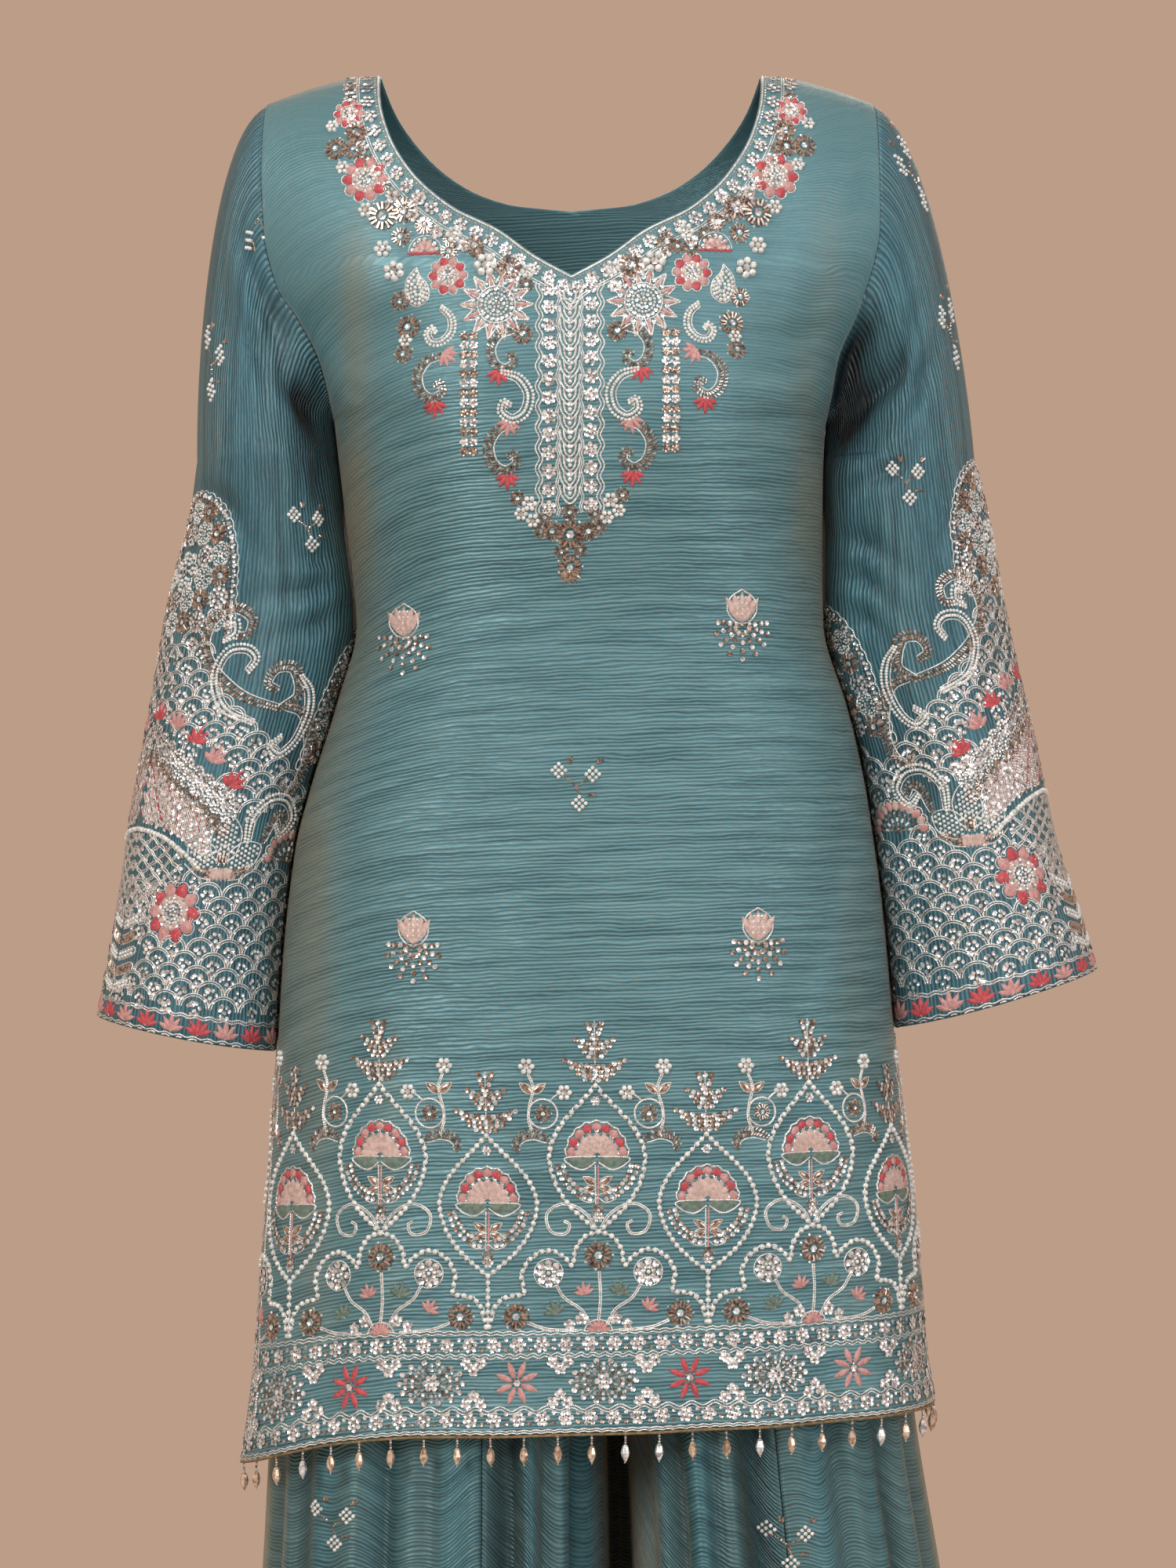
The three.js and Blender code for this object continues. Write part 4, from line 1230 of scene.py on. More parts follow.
def heart_of_beads(pen, r):
    """Rounds of sequins, pearls and beads that fill the middle of a flower."""
    rounds = (
        ("cup", "clear", 0.9, 1.45),
        ("dome", "pearl", 0.64, 1.0),
        ("cup", "clear", 0.4, 1.3),
        ("dome", "pearl", 0.18, 1.0),
    )
    for form, kind, share, size in rounds:
        count = max(3, int(math.tau * share * r / (2.0 * size)))
        pen.ring(form, kind, count, share * r, size, share * math.tau / count)
    pen.bead("dome", "brown", 0, 0, 0.8)


def blossom(pen, r, kind):
    """A flower with scalloped petals close round a wide beaded middle."""
    lobes = 10
    for i, lobe in enumerate(pen.around(lobes)):
        lobe.petal("blush", 0.28 * r, 0, 0, 0.42 * r, 0.3 * r, 0.8)
        lobe.petal((kind, "pink")[i % 2], 0.5 * r, 0, 0, 0.56 * r, 0.5 * r, 0.9)
        lobe.cord("silver", arc(0.84 * r, 0, 0.25 * r, -1.5, 1.5, 1.6), 0.8)
    pen.ring("cut", "clear", lobes, 0.84 * r, 0.07 * r)
    pen.cord("silver", arc(0, 0, 0.6 * r, 0, math.tau, 2.0), 0.8)
    heart_of_beads(pen, 0.58 * r)


def burst(pen, r, kind):
    """A large flower: thin pointed petals, each between silver cords, round a wide beaded middle."""
    rays = 14
    star = [polar((0.66, 1.04)[i % 2] * r, (i - 1) * math.pi / rays) for i in range(2 * rays + 1)]
    pen.cord("silver", stepped(star, 2.2), 1.2)
    for i, ray in enumerate(pen.around(rays)):
        ray.petal(("blush", kind)[i % 2], 0.52 * r, 0, 0, 0.42 * r, 0.13 * r, 0.9)
        for side in (-0.065 * r, 0.065 * r):
            ray.cord("silver", [(0.52 * r, side), (0.98 * r, 0.2 * side)], 0.8)
    pen.ring("cup", "clear", rays, 0.66 * r, 1.6, 0.22)
    pen.cord("silver", arc(0, 0, 0.52 * r, 0, math.tau, 2.0), 1.0)
    heart_of_beads(pen, 0.48 * r)


def tulip(pen, s, kind):
    """Five silk petals fanned out from a bead."""
    for turn, length in ((-1.15, 0.85), (1.15, 0.85), (-0.6, 0.95), (0.6, 0.95), (0.0, 1.05)):
        pen.petal(kind, 0, 0, math.pi / 2 + turn, s * length, s * 0.34, 1.0)
    pen.bead("cut", "silver", 0, 0, 0.1 * s)


def scroll(pen, s, kind):
    """A C-shaped hook of beads."""
    vine(pen, SCROLL_LINE * s, kind, 0.2 * s)


def outlined_leaf(pen, s):
    """A bronze leaf along the pen's way, with a cord on each side."""
    pen.petal("brown", 0, 0, 0, s, 0.46 * s, 0.8)
    for side in (-1, 1):
        pen.cord("silver", curved(LEAF_EDGE * [s, s * side], 1.7), 0.6)


def paisley(pen, s, kind):
    """A drop filled with pearls, with a curled tip."""
    for share in (1.0, 0.68, 0.36):
        string(pen, "dome", kind, curved(PAISLEY_OUTLINE * s * share, 1.8), 2.5, 1.25)
    pen.cord("silver", curved(PAISLEY_OUTLINE * s * 1.22, 1.8), 0.9)


def lotus(pen, s):
    """A lotus in profile: a scalloped cap with a dotted middle, two leaves under it, and a stem."""
    for i in range(9):
        turn = math.pi * (0.04 + 0.92 * i / 8)
        c, d = polar(s, turn)
        pen.petal("blush", 0.1 * c, 0.1 * d, turn, 0.74 * s, 0.36 * s, 0.7)
        pen.petal(("pink", "coral")[i % 2], 0.72 * c, 0.82 * d, turn, 0.3 * s, 0.38 * s, 1.1)
        pen.bead("cup", "clear", 0.76 * c, 0.86 * d, 0.08 * s)
    dotted = pen.at(0, 0.05 * s)
    for reach, count in ((0.64, 11), (0.47, 9), (0.3, 5), (0.12, 2)):
        for i in range(count):
            kind = ("pearl", "brown")[(i + count) % 2]
            dotted.bead("cut", kind, *polar(reach * s, math.pi * (i + 0.5) / count), 0.85)
    rim = [polar((1.02 + 0.06 * (i % 2)) * s, i * math.pi / 18) for i in range(19)]
    pen.cord("silver", np.array(rim) * [1, 1.1], 1.2)
    pen.cord("pink", stepped([(0.03 * s, -0.3 * s), (0, -1.6 * s)], 2), 1.2)
    pen.cord("silver", stepped([(-0.07 * s, -0.3 * s), (-0.08 * s, -1.6 * s)], 2), 0.9)
    for side in pen.mirrored():
        side.petal("sage", 0.03 * s, -0.2 * s, 0.06, 0.98 * s, 0.46 * s, 0.8)
        side.cord("silver", curved(LOTUS_LEAF * s, 1.9), 1.25)
        outlined_leaf(side.at(0.06 * s, -0.95 * s, turn=0.55), 0.48 * s)
        outlined_leaf(side.at(0.06 * s, -1.05 * s, turn=-0.15), 0.42 * s)
        side.cord("silver", curved(LOTUS_LOOP * s, 1.8), 0.9)
        for k in range(9):
            for row, reach in enumerate((1.14, 1.34)):
                c, d = polar(reach * s, -0.2 - 0.145 * k)
                x, y = c, 1.02 * d - 0.1 * s
                side.bead("cup", ("clear", "brown", "clear")[(k + 2 + 2 * row) % 3], x, y, 1.6)
                side.bead("cut", "silver", x + 0.5, y + 0.5, 0.7)
    bead_flower(pen.at(0, -1.8 * s), 3.8)


# Outlines of the motifs, each for a size of 1, apart from the arch in millimetres
SCROLL_LINE = np.array(
    [(0.55, 1.0), (-0.15, 0.8), (-0.58, 0.15), (-0.42, -0.6)]
    + [(0.12, -0.92), (0.6, -0.6), (0.5, -0.15), (0.2, -0.3)]
)


LEAF_EDGE = np.array([(0, 0), (0.3, 0.24), (0.7, 0.2), (1.05, 0)])


PAISLEY_OUTLINE = np.array(
    [(0.1, 1.0), (0.5, 0.5), (0.52, -0.2), (0.1, -0.62)]
    + [(-0.38, -0.3), (-0.36, 0.25), (-0.05, 0.62), (0.1, 1.0)]
)


LOTUS_LEAF = np.array([(0.04, -0.02), (1.06, -0.06), (0.86, -0.34), (0.45, -0.46), (0.04, -0.2)])


LOTUS_LOOP = np.array([(0, -1.3), (0.45, -1.2), (0.6, -1.42), (0.25, -1.55), (0, -1.38)])


FRAME_OUTLINE = np.array(
    [(0, -1.02), (0.3, -0.85), (0.63, -0.63), (0.89, -0.33), (1.0, 0.02)]
    + [(0.86, 0.32), (0.6, 0.56), (0.3, 0.77), (0, 0.99)]
)

ARCH_OUTLINE = np.array(
    [(0, 0), (8, -2.5), (13.9, -11), (15.2, -20), (21, -14), (30, -10.5)]
    + [(40, -15), (45.5, -25), (44, -35.5), (54, -37.5), (61, -43), (64.5, -55)]
)


def pearl_chain(pen, line, gap=4.2, radius=1.7):
    """Pearls along a line, with a cord that winds between them."""
    p = stepped(line, gap / 2)
    sway = beside(p, 1.25) - p
    turns = np.array([1, 0, -1, 0])[np.arange(len(p)) % 4]
    pen.cord("silver", p + sway * turns[:, None], 1.0)
    string(pen, "dome", "pearl", line, gap, radius, 0.08)


def ogee(pen, half, height):
    """A pointed frame of pearls, with a rosette inside its head and its foot."""
    for side in pen.mirrored():
        pearl_chain(side, curved(FRAME_OUTLINE * [half, height], 1.9))
    rosette(pen.at(0, 0.78 * height), 3.2)
    rosette(pen.at(0, -0.82 * height), 3.6)


def finial(pen):
    """A little tree of sequins in crescents, each tier narrower than the one below."""
    pen.cord("silver", stepped([(0, 0), (0, 38)], 2), 0.7)
    for up, half in ((11, 18), (24.5, 11), (35.5, 4)):
        for row in range(4):
            span = half * (1 - 0.22 * row)
            count = max(1, int(2 * span / 3.2))
            for i in range(count + 1):
                x = (2 * i / count - 1) * span
                y = up - 2.7 * row + 0.2 * half * (x / half) ** 2
                kind = ("brown", "clear")[(i + row) % 2]
                pen.bead("cup", kind, x, y, 1.65)
                pen.bead("cut", "silver", x + 0.4, y + 0.3, 0.6)


def volute(pen):
    """A curl of double cord beside the foot of a frame."""
    points = [(0, 0), (4, 7), (12, 13), (21, 14.5), (29, 8.5), (26.5, -1.5), (18, -3), (15.5, 2.5), (19, 4.5)]
    double_cord(pen, "silver", curved(points, 1.8), 0.55, 1.0)


def garden(pen):
    """The plants inside an arch, with the band's upper line at height 0."""
    for i in range(7):
        pen.petal("pink", 0, 0.5, math.pi * (0.06 + 0.88 * i / 6), 7.5, 3.2, 0.9)
    pen.cord("silver", arc(0, 0.5, 8.2, 0, math.pi, 1.9, 0.8), 1.0)
    double_cord(pen, "silver", curved([(0, 6), (1.2, 20), (0.4, 36)], 2), 0.55, 0.95)
    bead_flower(pen.at(0, 45), 8.6)
    for side in pen.mirrored():
        double_cord(side, "silver", curved([(5, 4), (10, 13), (20, 20), (25, 28)], 2), 0.55, 0.95)
        flower = side.at(29.5, 35)
        flower.ring("cup", "clear", 8, 6.4, 2.3)
        flower.ring("cut", "brown", 8, 6.4, 0.8)
        flower.ring("cup", "silver", 8, 3.3, 1.5, 0.4)
        flower.cord("silver", arc(0, 0, 8.5, 0, math.tau, 2.0), 0.9)
        flower.bead("dome", "pearl", 0, 0, 1.4)
        double_cord(side, "silver", curved([(42, 6), (30, 2), (12, 0.8)], 2), 0.55, 0.95)
        bead_flower(side.at(48.6, 9.8), 8.2)
        floret(side.at(10, 8), 4.2, "clear", "silver")
        floret(side.at(17, 4.5), 3.6, "clear", "silver")
    tulip(pen.at(-8, 22, turn=0.2), 8, "pink")
    tulip(pen.at(12, 22, turn=-0.2), 9, "sage")
    tulip(pen.at(29, 13, turn=-0.6), 8, "pink")
    tulip(pen.at(-25, 11, turn=0.4), 9, "sage")


def between_frames(side):
    """What grows beside a low frame: a beaded hook, a ringed flower, leaves and white flowers."""
    vine(side, [(37, -647), (29, -643.5), (21, -645), (16.5, -650.5), (19, -653.5)], "brown", 3.0)
    side.cord("silver", arc(34, -632, 8.6, 0, math.tau, 2.0), 1.3)
    bead_flower(side.at(34, -632), 5.2)
    stem = [(28, -644), (25.5, -636), (26, -628), (28.5, -617), (25.5, -608)]
    double_cord(side, "silver", curved(stem, 2), 0.5, 0.95)
    side.cord("silver", curved([(38, -624.5), (42, -621), (45, -620)], 2), 1.2)
    outlined_leaf(side.at(28, -620, turn=2.45), 9.5)
    outlined_leaf(side.at(28, -620, turn=0.65), 9.5)
    pearl_flower(side.at(24.7, -604), 5.6)
    pearl_flower(side.at(46.8, -619.5), 5.4)


def buti(pen, s):
    """A bud over a fan of leaves, scattered on the plain cloth."""
    for turn in (-0.6, -0.3, 0, 0.3, 0.6):
        pen.petal("blush", 0, 0.12 * s, math.pi / 2 + turn, 1.08 * s, 0.36 * s, 0.9)
    for row in range(4):
        for i in range(3):
            pen.bead("dome", "pearl", (i - 1) * 0.2 * s * (1 - 0.1 * row), (0.4 + 0.2 * row) * s, 0.95)
    bud = np.array([(0, 1.3), (0.42, 1.0), (0.54, 0.55), (0.3, 0.15), (0, 0.05)]) * s
    for side in pen.mirrored():
        side.cord("silver", curved(bud, 1.8), 1.0)
    for i in range(9):
        reach = (1.3 - 0.09 * abs(i - 4)) * s
        for k in range(4):
            x, y = polar((0.26 + 0.23 * k) * reach, -math.pi / 2 + (i - 4) * 0.42)
            pen.bead("cup", ("brown", "clear")[(i + k) % 2], x, y, 1.7)
            pen.bead("cut", "silver", x, y, 0.65)
    pen.bead("dome", "brown", 0, 0, 1.4)


def pearl_spray(pen, s):
    """Three diamonds of pearls on a forked stem."""
    for x, y in ((-0.66, 0.5), (0.6, 0.36), (0.1, -0.72)):
        for i in range(3):
            for k in range(3):
                pen.bead("dome", "pearl", x * s + (i - k) * 1.95, y * s + (i + k - 2) * 1.95, 1.3)
    for line in ([(-0.5, 0.3), (-0.1, 0.0), (0.1, -0.4)], [(0.5, 0.2), (0.1, 0.0), (0.0, -0.2)]):
        string(pen, "cut", "brown", curved(np.array(line) * s, 1.8), 1.7, 0.95)
    for x, y, turn in ((-0.3, 0.9, 1.9), (0.8, 0.85, 1.2), (0.5, -0.4, 0.3)):
        pen.bead("tube", "brown", x * s, y * s, 0.8, turn, 4.0)
        pen.bead("tube", "brown", x * s + 1.8, y * s, 0.8, turn - 0.5, 4.0)


# Where the small pieces in each scale lie, from its middle
SCALE_FILLING = ((0, -1.4), (-3.2, 0.6), (3.1, 0.4), (-1.4, 2.6), (1.9, -3.9), (-2.0, -3.8), (1.6, 2.2))


def scales(pen, left, right, low, high, hidden):
    """Rows of fish scales in double cord, each with a few sequins over a fan of beads at its foot."""
    size, rise = SCALE["half"], SCALE["rise"]
    for row in range(int((high - low) / rise) + 1):
        y = low + row * rise
        for i in range(int((right - left) / (2 * size)) + 2):
            x = left + (2 * i + row % 2) * size
            if x > right or hidden(x, y + 3):
                continue
            outline = arc(x, y, size, 0, math.pi, 2.3, rise / size)
            pen.cord("silver", outline, 0.95)
            pen.cord("silver", outline * 0.84 + np.array([x, y]) * 0.16, 0.8)
            for dx, dy in SCALE_FILLING:
                large = rng.uniform(0, 1) > 0.87
                u, v = x + dx + rng.uniform(-0.6, 0.6), y + dy + rng.uniform(-0.6, 0.6)
                pen.bead("cup", "clear", u, v, 2.1 if large else 1.4)
            for k in range(3):
                turn = math.pi / 2 + 0.5 * (k - 1)
                u, v = x + 3.0 * math.cos(turn), y - rise + 1.4 + 3.0 * math.sin(turn)
                pen.bead("tube", "silver", u, v, 0.5, turn, 2.6)


def vine(pen, points, kind, half):
    """A curling stem filled with two rows of beads, thin at its ends, with a cord along its inner edge."""
    path = curved(points, 2.0)
    way = unit(np.gradient(path, axis=0))
    side = np.stack([-way[:, 1], way[:, 0]], -1)
    inner = np.sign(np.sum(way[:-1, 0] * way[1:, 1] - way[:-1, 1] * way[1:, 0]))
    t = np.linspace(0, 1, len(path))
    width = half * (0.5 + 0.5 * np.sin(math.pi * t**0.8))
    for k, (p, n, d, h) in enumerate(zip(path, side, way, width)):
        for way_out in (-0.52, 0.52):
            x, y = p + n * h * way_out + d * 0.5 * way_out
            if kind == "pearl":
                pen.bead("dome", kind, x, y, 1.12)
                continue
            bright = (k + (way_out > 0)) % 3 == 0
            pen.bead("tube", "silver" if bright else kind, x, y, 0.82, math.atan2(n[1], n[0]) - 0.5, 0.92 * h)
    pen.cord("silver", path + inner * side * (width + 1.0)[:, None], 0.9)


SCALE = {"half": 9.3, "rise": 8.4}


SLEEVE_VINES = [
    # colour, half width, places round from the design's middle and up from the cuff
    (
        "brown",
        3.5,
        [(50, 248), (57, 249), (58, 260), (46, 267), (33, 261)]
        + [(28, 246), (34, 232), (46, 220), (62, 209), (84, 201)],
    ),
    ("brown", 3.5, [(84, 201), (94, 210), (88, 227), (76, 228), (72, 218), (79, 213)]),
    ("pearl", 3.1, [(60, 226), (64, 234), (58, 241), (47, 241), (40, 232), (40, 219), (50, 203), (70, 193)]),
    ("pearl", 2.8, [(41, 256), (48, 258), (49, 250), (42, 246)]),
    ("brown", 3.5, [(88, 203), (100, 199), (109, 186), (114, 170), (112, 154), (103, 149), (99, 158)]),
    ("pearl", 3.0, [(92, 222), (100, 212), (104, 197), (101, 180), (92, 172), (84, 178), (90, 184)]),
    ("pearl", 3.2, [(84, 120), (84, 136), (94, 146), (108, 145), (116, 134), (109, 124), (102, 130)]),
    ("brown", 2.8, [(94, 120), (99, 133), (106, 137), (110, 130)]),
]


def sequin_flower(pen, r, heart="brown"):
    """Six petals of three sequins round a beaded middle."""
    for i in range(6):
        turn = i * math.tau / 6
        for reach, lean in ((0.42, 0), (0.78, 0.24), (0.78, -0.24)):
            pen.bead("cup", "clear", *polar(reach * r, turn + lean), 0.2 * r)
        pen.bead("cut", "silver", *polar(0.6 * r, turn), 0.11 * r)
    pen.bead("dome", heart, 0, 0, 0.18 * r)


def pearl_blossom(pen, r):
    """Seven petals of pearls round a ring of sequins."""
    for i in range(7):
        turn = i * math.tau / 7
        for reach, lean in ((0.46, 0), (0.68, 0.2), (0.68, -0.2), (0.92, 0.1), (0.92, -0.1)):
            pen.bead("dome", "pearl", *polar(reach * r, turn + lean), 0.105 * r)
        x, y = polar(0.7 * r, turn)
        pen.cord("silver", arc(x, y, 0.36 * r, turn - 1.5, turn + 1.5, 1.8), 0.8)
    pen.ring("cup", "clear", 5, 0.2 * r, 0.13 * r)


def arched_cap(pen, s, kind):
    """A half round of silk petals over brown beads, under a scalloped cord."""
    for i in range(11):
        petal = pen.at(0, 0, turn=math.pi * (i + 0.5) / 11)
        petal.petal((kind, "blush")[i % 2], 0.66 * s, 0, 0, 0.34 * s, 0.27 * s, 0.9)
        petal.cord("silver", arc(0.9 * s, 0, 0.15 * s, -1.6, 1.6, 1.4), 0.85)
    for reach, count, row in ((0.56, 10, "brown"), (0.4, 7, "pearl"), (0.25, 5, "brown"), (0.1, 3, "brown")):
        for i in range(count):
            rib = pen.at(0, 0, turn=math.pi * (i + 0.5) / count)
            rib.bead("tube", row, reach * s, 0, 0.85, 0, 0.14 * s)


def inside_only(pen, kind, points, width, test):
    """Lays a cord along the parts of a line where a test holds."""
    held = np.array([bool(test(x, y)) for x, y in points])
    edges = np.flatnonzero(np.diff(np.concatenate([[0], held.astype(int), [0]])))
    for start, end in zip(edges[::2], edges[1::2]):
        if end - start > 2:
            pen.cord(kind, points[start:end], width)


# Layouts
FRAME_PITCH = 65.4

SKIRT_MIDDLE = 5.0

BAND = {"top": -761, "upper": -774.5, "lower": -806, "edge": -819.3}


def hem_border(work):
    """Bead work of the tunic's skirt, by distance round from the middle and by height in the flat cloth."""
    pen = Pen(work)
    for i in range(-4, 5):
        x = SKIRT_MIDDLE + i * FRAME_PITCH
        if i % 2 == 0:
            ogee(pen.at(x, -658), 28.4, 43)
            finial(pen.at(x, -615))
            lotus(pen.at(x, -657), 17.8)
            for flip in (-1, 1):
                volute(pen.at(x + flip * 1.5, -700, flip=flip))
                pearl_chain(pen.at(x, -702, flip=flip), curved(ARCH_OUTLINE, 1.9))
            garden(pen.at(x, BAND["top"]))
        else:
            ogee(pen.at(x, -685.5), 29.3, 41)
            finial(pen.at(x, -645))
            lotus(pen.at(x, -684), 17.8)
            for side in pen.mirrored(x):
                between_frames(side)
            pearl_chain(pen, stepped([(x, -727), (x, -757)], 2))
    band_of_flowers(pen)


def band_of_flowers(pen):
    """The two rows of rosettes along the hem, with large flowers between them."""
    span = np.linspace(-290, 290, 290)
    rows = ((BAND["top"], 0.5, 7.1), (BAND["upper"], 0.9, 7.1), (BAND["lower"], 1.5, 14.2))
    for level, sway, pitch in rows:
        wave = np.stack([span, level + sway * np.sin(span * math.tau / pitch)], -1)
        double_cord(pen, "silver", wave, 0.85, 0.95)
    edge = np.stack([span, BAND["edge"] + 0.9 * np.abs(np.sin(span * math.pi / 7.1))], -1)
    double_cord(pen, "silver", edge, 0.7, 0.9)
    for i in range(-20, 21):
        x = 14.2 * i
        for level in (-767.8, -811.2):
            rosette(pen.at(x, level, turn=i), 5.0)
            pen.bead("cup", "clear", x + 7.1, level + 3, 1.4)
            pen.bead("cup", "brown", x + 7.1, level - 2.5, 1.4)
    for i in range(-6, 7):
        x = 8 + i * 51.3
        if i % 2 == 0:
            snowflake(pen.at(x, -790), 19.5, 12.5)
        else:
            daisy(pen.at(x, -790), 13.4, ("coral", "pink")[(i // 2) % 2])
        for level, way in ((-776.5, -1), (-803.5, 1)):
            for dx, dy in ((-4.4, 1.6), (4.4, 1.6), (0, 6)):
                floret(pen.at(x + 25.65 + dx, level + way * dy, turn=dx), 3.9, "clear", "silver")


def draw(pen, motifs):
    """Draws the motifs of a table, each at its place, turned and facing its way."""
    for name, kind, x, y, size, turn, way in motifs:
        MOTIFS[name](pen.at(x, y, turn=turn, flip=way), size, kind)


def slit_edges(work, limit):
    """A narrow edging along the side slits, a little way in from each edge."""
    pen = Pen(work)
    levels = np.arange(-575, -816, -1.0)
    for flip in (-1, 1):
        edge = np.array([limit(level, flip) for level in levels])
        string(pen, "cut", "silver", np.stack([edge - flip * 3.2, levels], -1), 2.1, 0.9)
        for x, y in stepped(np.stack([edge - flip * 8.5, levels], -1), 9.4):
            if y < -590:
                rosette(pen.at(x, y), 4.2)
        inner = np.stack([edge - flip * (14 + 0.8 * np.sin(levels * 0.67)), levels], -1)
        double_cord(pen, "silver", stepped(inner[20:], 2), 0.6, 0.8)


YOKE_AXIS = -4.9

YOKE = [
    # motif, colour, from the axis, height, size, turn, which way it faces
    ("blossom", "coral", 134, -31, 9, 0, 1),
    ("pearls", "pearl", 144, -39, 4.6, 0, 1),
    ("beads", "brown", 129, -44, 7.2, 0, 1),
    ("beads", "brown", 141, -54, 7.4, 0, 1),
    ("beads", "brown", 130, -55, 6.7, 0.4, 1),
    ("pearls", "pearl", 137, -66, 4.8, 0, 1),
    ("blossom", "coral", 123, -74, 13.4, 0, 1),
    ("pearls", "pearl", 122.5, -93, 5.3, 0, 1),
    ("beads", "brown", 112, -97, 9.2, 0, 1),
    ("beads", "brown", 99, -94, 8.2, 0.3, 1),
    ("floret", "clear", 106, -85, 5, 0, 1),
    ("floret", "clear", 90, -88, 4.6, 0, 1),
    ("beads", "brown", 101, -110, 6.4, 0, 1),
    ("pearls", "pearl", 112, -117, 6, 0, 1),
    ("pearls", "pearl", 105, -131, 7.4, 0.4, 1),
    ("beads", "brown", 87, -104, 5.9, 0, 1),
    ("cap", "coral", 86.5, -120, 9.5, 0, 1),
    ("beads", "brown", 72, -120, 5.6, 0, 1),
    ("pearls", "pearl", 69, -110, 5.8, 0, 1),
    ("blossom", "coral", 72.5, -135, 11, 0, 1),
    ("beads", "brown", 57, -117, 6.4, 0, 1),
    ("pearls", "pearl", 50, -129, 8, 0, 1),
    ("beads", "brown", 36, -131, 7.7, 0, 1),
    ("pearls", "pearl", 25, -133, 5.3, 0, 1),
    ("paisley", "pearl", 90, -144, 12, 0, 1),
    ("beads", "brown", 101, -149, 6.1, 0, 1),
    ("burst", "pink", 43.6, -153, 21.5, 0, 1),
    ("scroll", "pearl", 76, -167, 11.5, 0.5, 1),
    ("beads", "brown", 96, -165, 7.7, 0, 1),
    ("pearls", "pearl", 98, -173, 4.6, 0, 1),
    ("beads", "brown", 99, -181, 5.9, 0, 1),
    ("beads", "brown", 28, -171, 6.4, 0, 1),
    ("tulip", "pink", 75, -182, 9.5, 2.2, 1),
    ("scroll", "brown", 83, -197, 14, 0, -1),
    ("tulip", "coral", 80, -211, 9.5, 3.14, 1),
    ("scroll", "brown", 40, -181, 12.5, 0, -1),
    ("tulip", "coral", 42, -193, 9.5, 3.14, 1),
    ("scroll", "pearl", 32, -209, 15, 0, 1),
    ("tulip", "pink", 36, -223, 9.5, 3.3, 1),
    ("scroll", "brown", 40, -239, 15, 0, -1),
    ("tulip", "coral", 37, -254, 9.5, 3.14, 1),
]


def neck_line(face, offset, step):
    """A line at an offset outside the neck's edge, from the wearer's right shoulder to the left."""
    rows = NECK[face]
    heights = np.linspace(0, rows["z"][0], 60)
    half = np.stack([along(rows["z"], rows["x"])(heights), heights], -1)
    line = np.concatenate([half * [-1, 1], half[-2::-1]])
    middle = body_centre(rows["z"][0])
    line[:, 0] += body_centre(line[:, 1])
    moved = beside(line, -offset)
    lowest = np.array([[middle, rows["z"][0] - offset * (1.3 if face == "front" else 1)]])
    sides = []
    for way in (-1, 1):
        own = np.arange(len(moved)) < 60 if way < 0 else np.arange(len(moved)) >= 60
        inside = own & (way * (moved[:, 0] - middle) > 0.8) & (moved[:, 1] > lowest[0, 1])
        sides.append(moved[inside & (moved[:, 1] < -1.5)])
    return stepped(np.concatenate([sides[0], lowest, sides[1]]), step)


def neck_edging(pen, face):
    pen.cord("silver", neck_line(face, 1.2, 2.0), 1.3)
    string(pen, "cut", "silver", neck_line(face, 3.0, 2.0), 2.0, 0.8)
    for n, (x, y) in enumerate(neck_line(face, 8.0, 10.4)):
        rosette(pen.at(x, y, turn=n), 4.7)
    double_cord(pen, "silver", neck_line(face, 13.6, 2.0), 0.7, 0.8)


def yoke_work(work):
    """Bead work round the neck and down the placket, by its place as seen from the front."""
    pen = Pen(work)
    neck_edging(pen, "front")
    for n, (x, y) in enumerate(neck_line("front", 18.2, 9.0)):
        if abs(x - YOKE_AXIS) > 24:
            (bead_flower if n % 2 else floret)(pen.at(x, y, turn=n), 4.6, ("clear", "brown")[n % 2])
    for flip in (-1, 1):
        side = pen.at(YOKE_AXIS, 2.0 * (flip > 0), flip=flip)
        draw(side, YOKE)
        for k in range(13):
            for dx in (-2.7, 2.7):
                floret(side.at(59.7 + dx, -172 - 5.7 * k, turn=k), 3.0, ("brown", "clear")[k % 2], "silver")
        placket_edge(side)
    for k in range(15):
        loop = pen.at(YOKE_AXIS, -149 - 8.2 * k)
        for w, drop in ((6.0, 7.4), (3.6, 4.4)):
            shape = [(-w, 3.4), (-0.8 * w, -0.35 * drop), (0, -drop), (0.8 * w, -0.35 * drop), (w, 3.4)]
            loop.cord("silver", curved(shape, 1.7), 1.35)
        loop.bead("dome", "pearl", 0, -1.2, 1.4)
        loop.bead("cup", "clear", 0, 2.4, 1.7)
    end = pen.at(YOKE_AXIS, 0)
    bead_flower(end.at(0, -289), 9)
    bead_flower(end.at(0, -308), 7.6)
    for x, z, r in ((-10.5, -287, 6), (11, -287, 6), (0, -276, 5), (-5, -299, 4.4), (6, -298, 4.4)):
        bead_flower(end.at(x, z, turn=x), r)
    for turn in (-0.9, -0.45, 0, 0.45, 0.9):
        end.petal("brown", 0, -310, -math.pi / 2 + turn, 9, 2.6, 0.7)


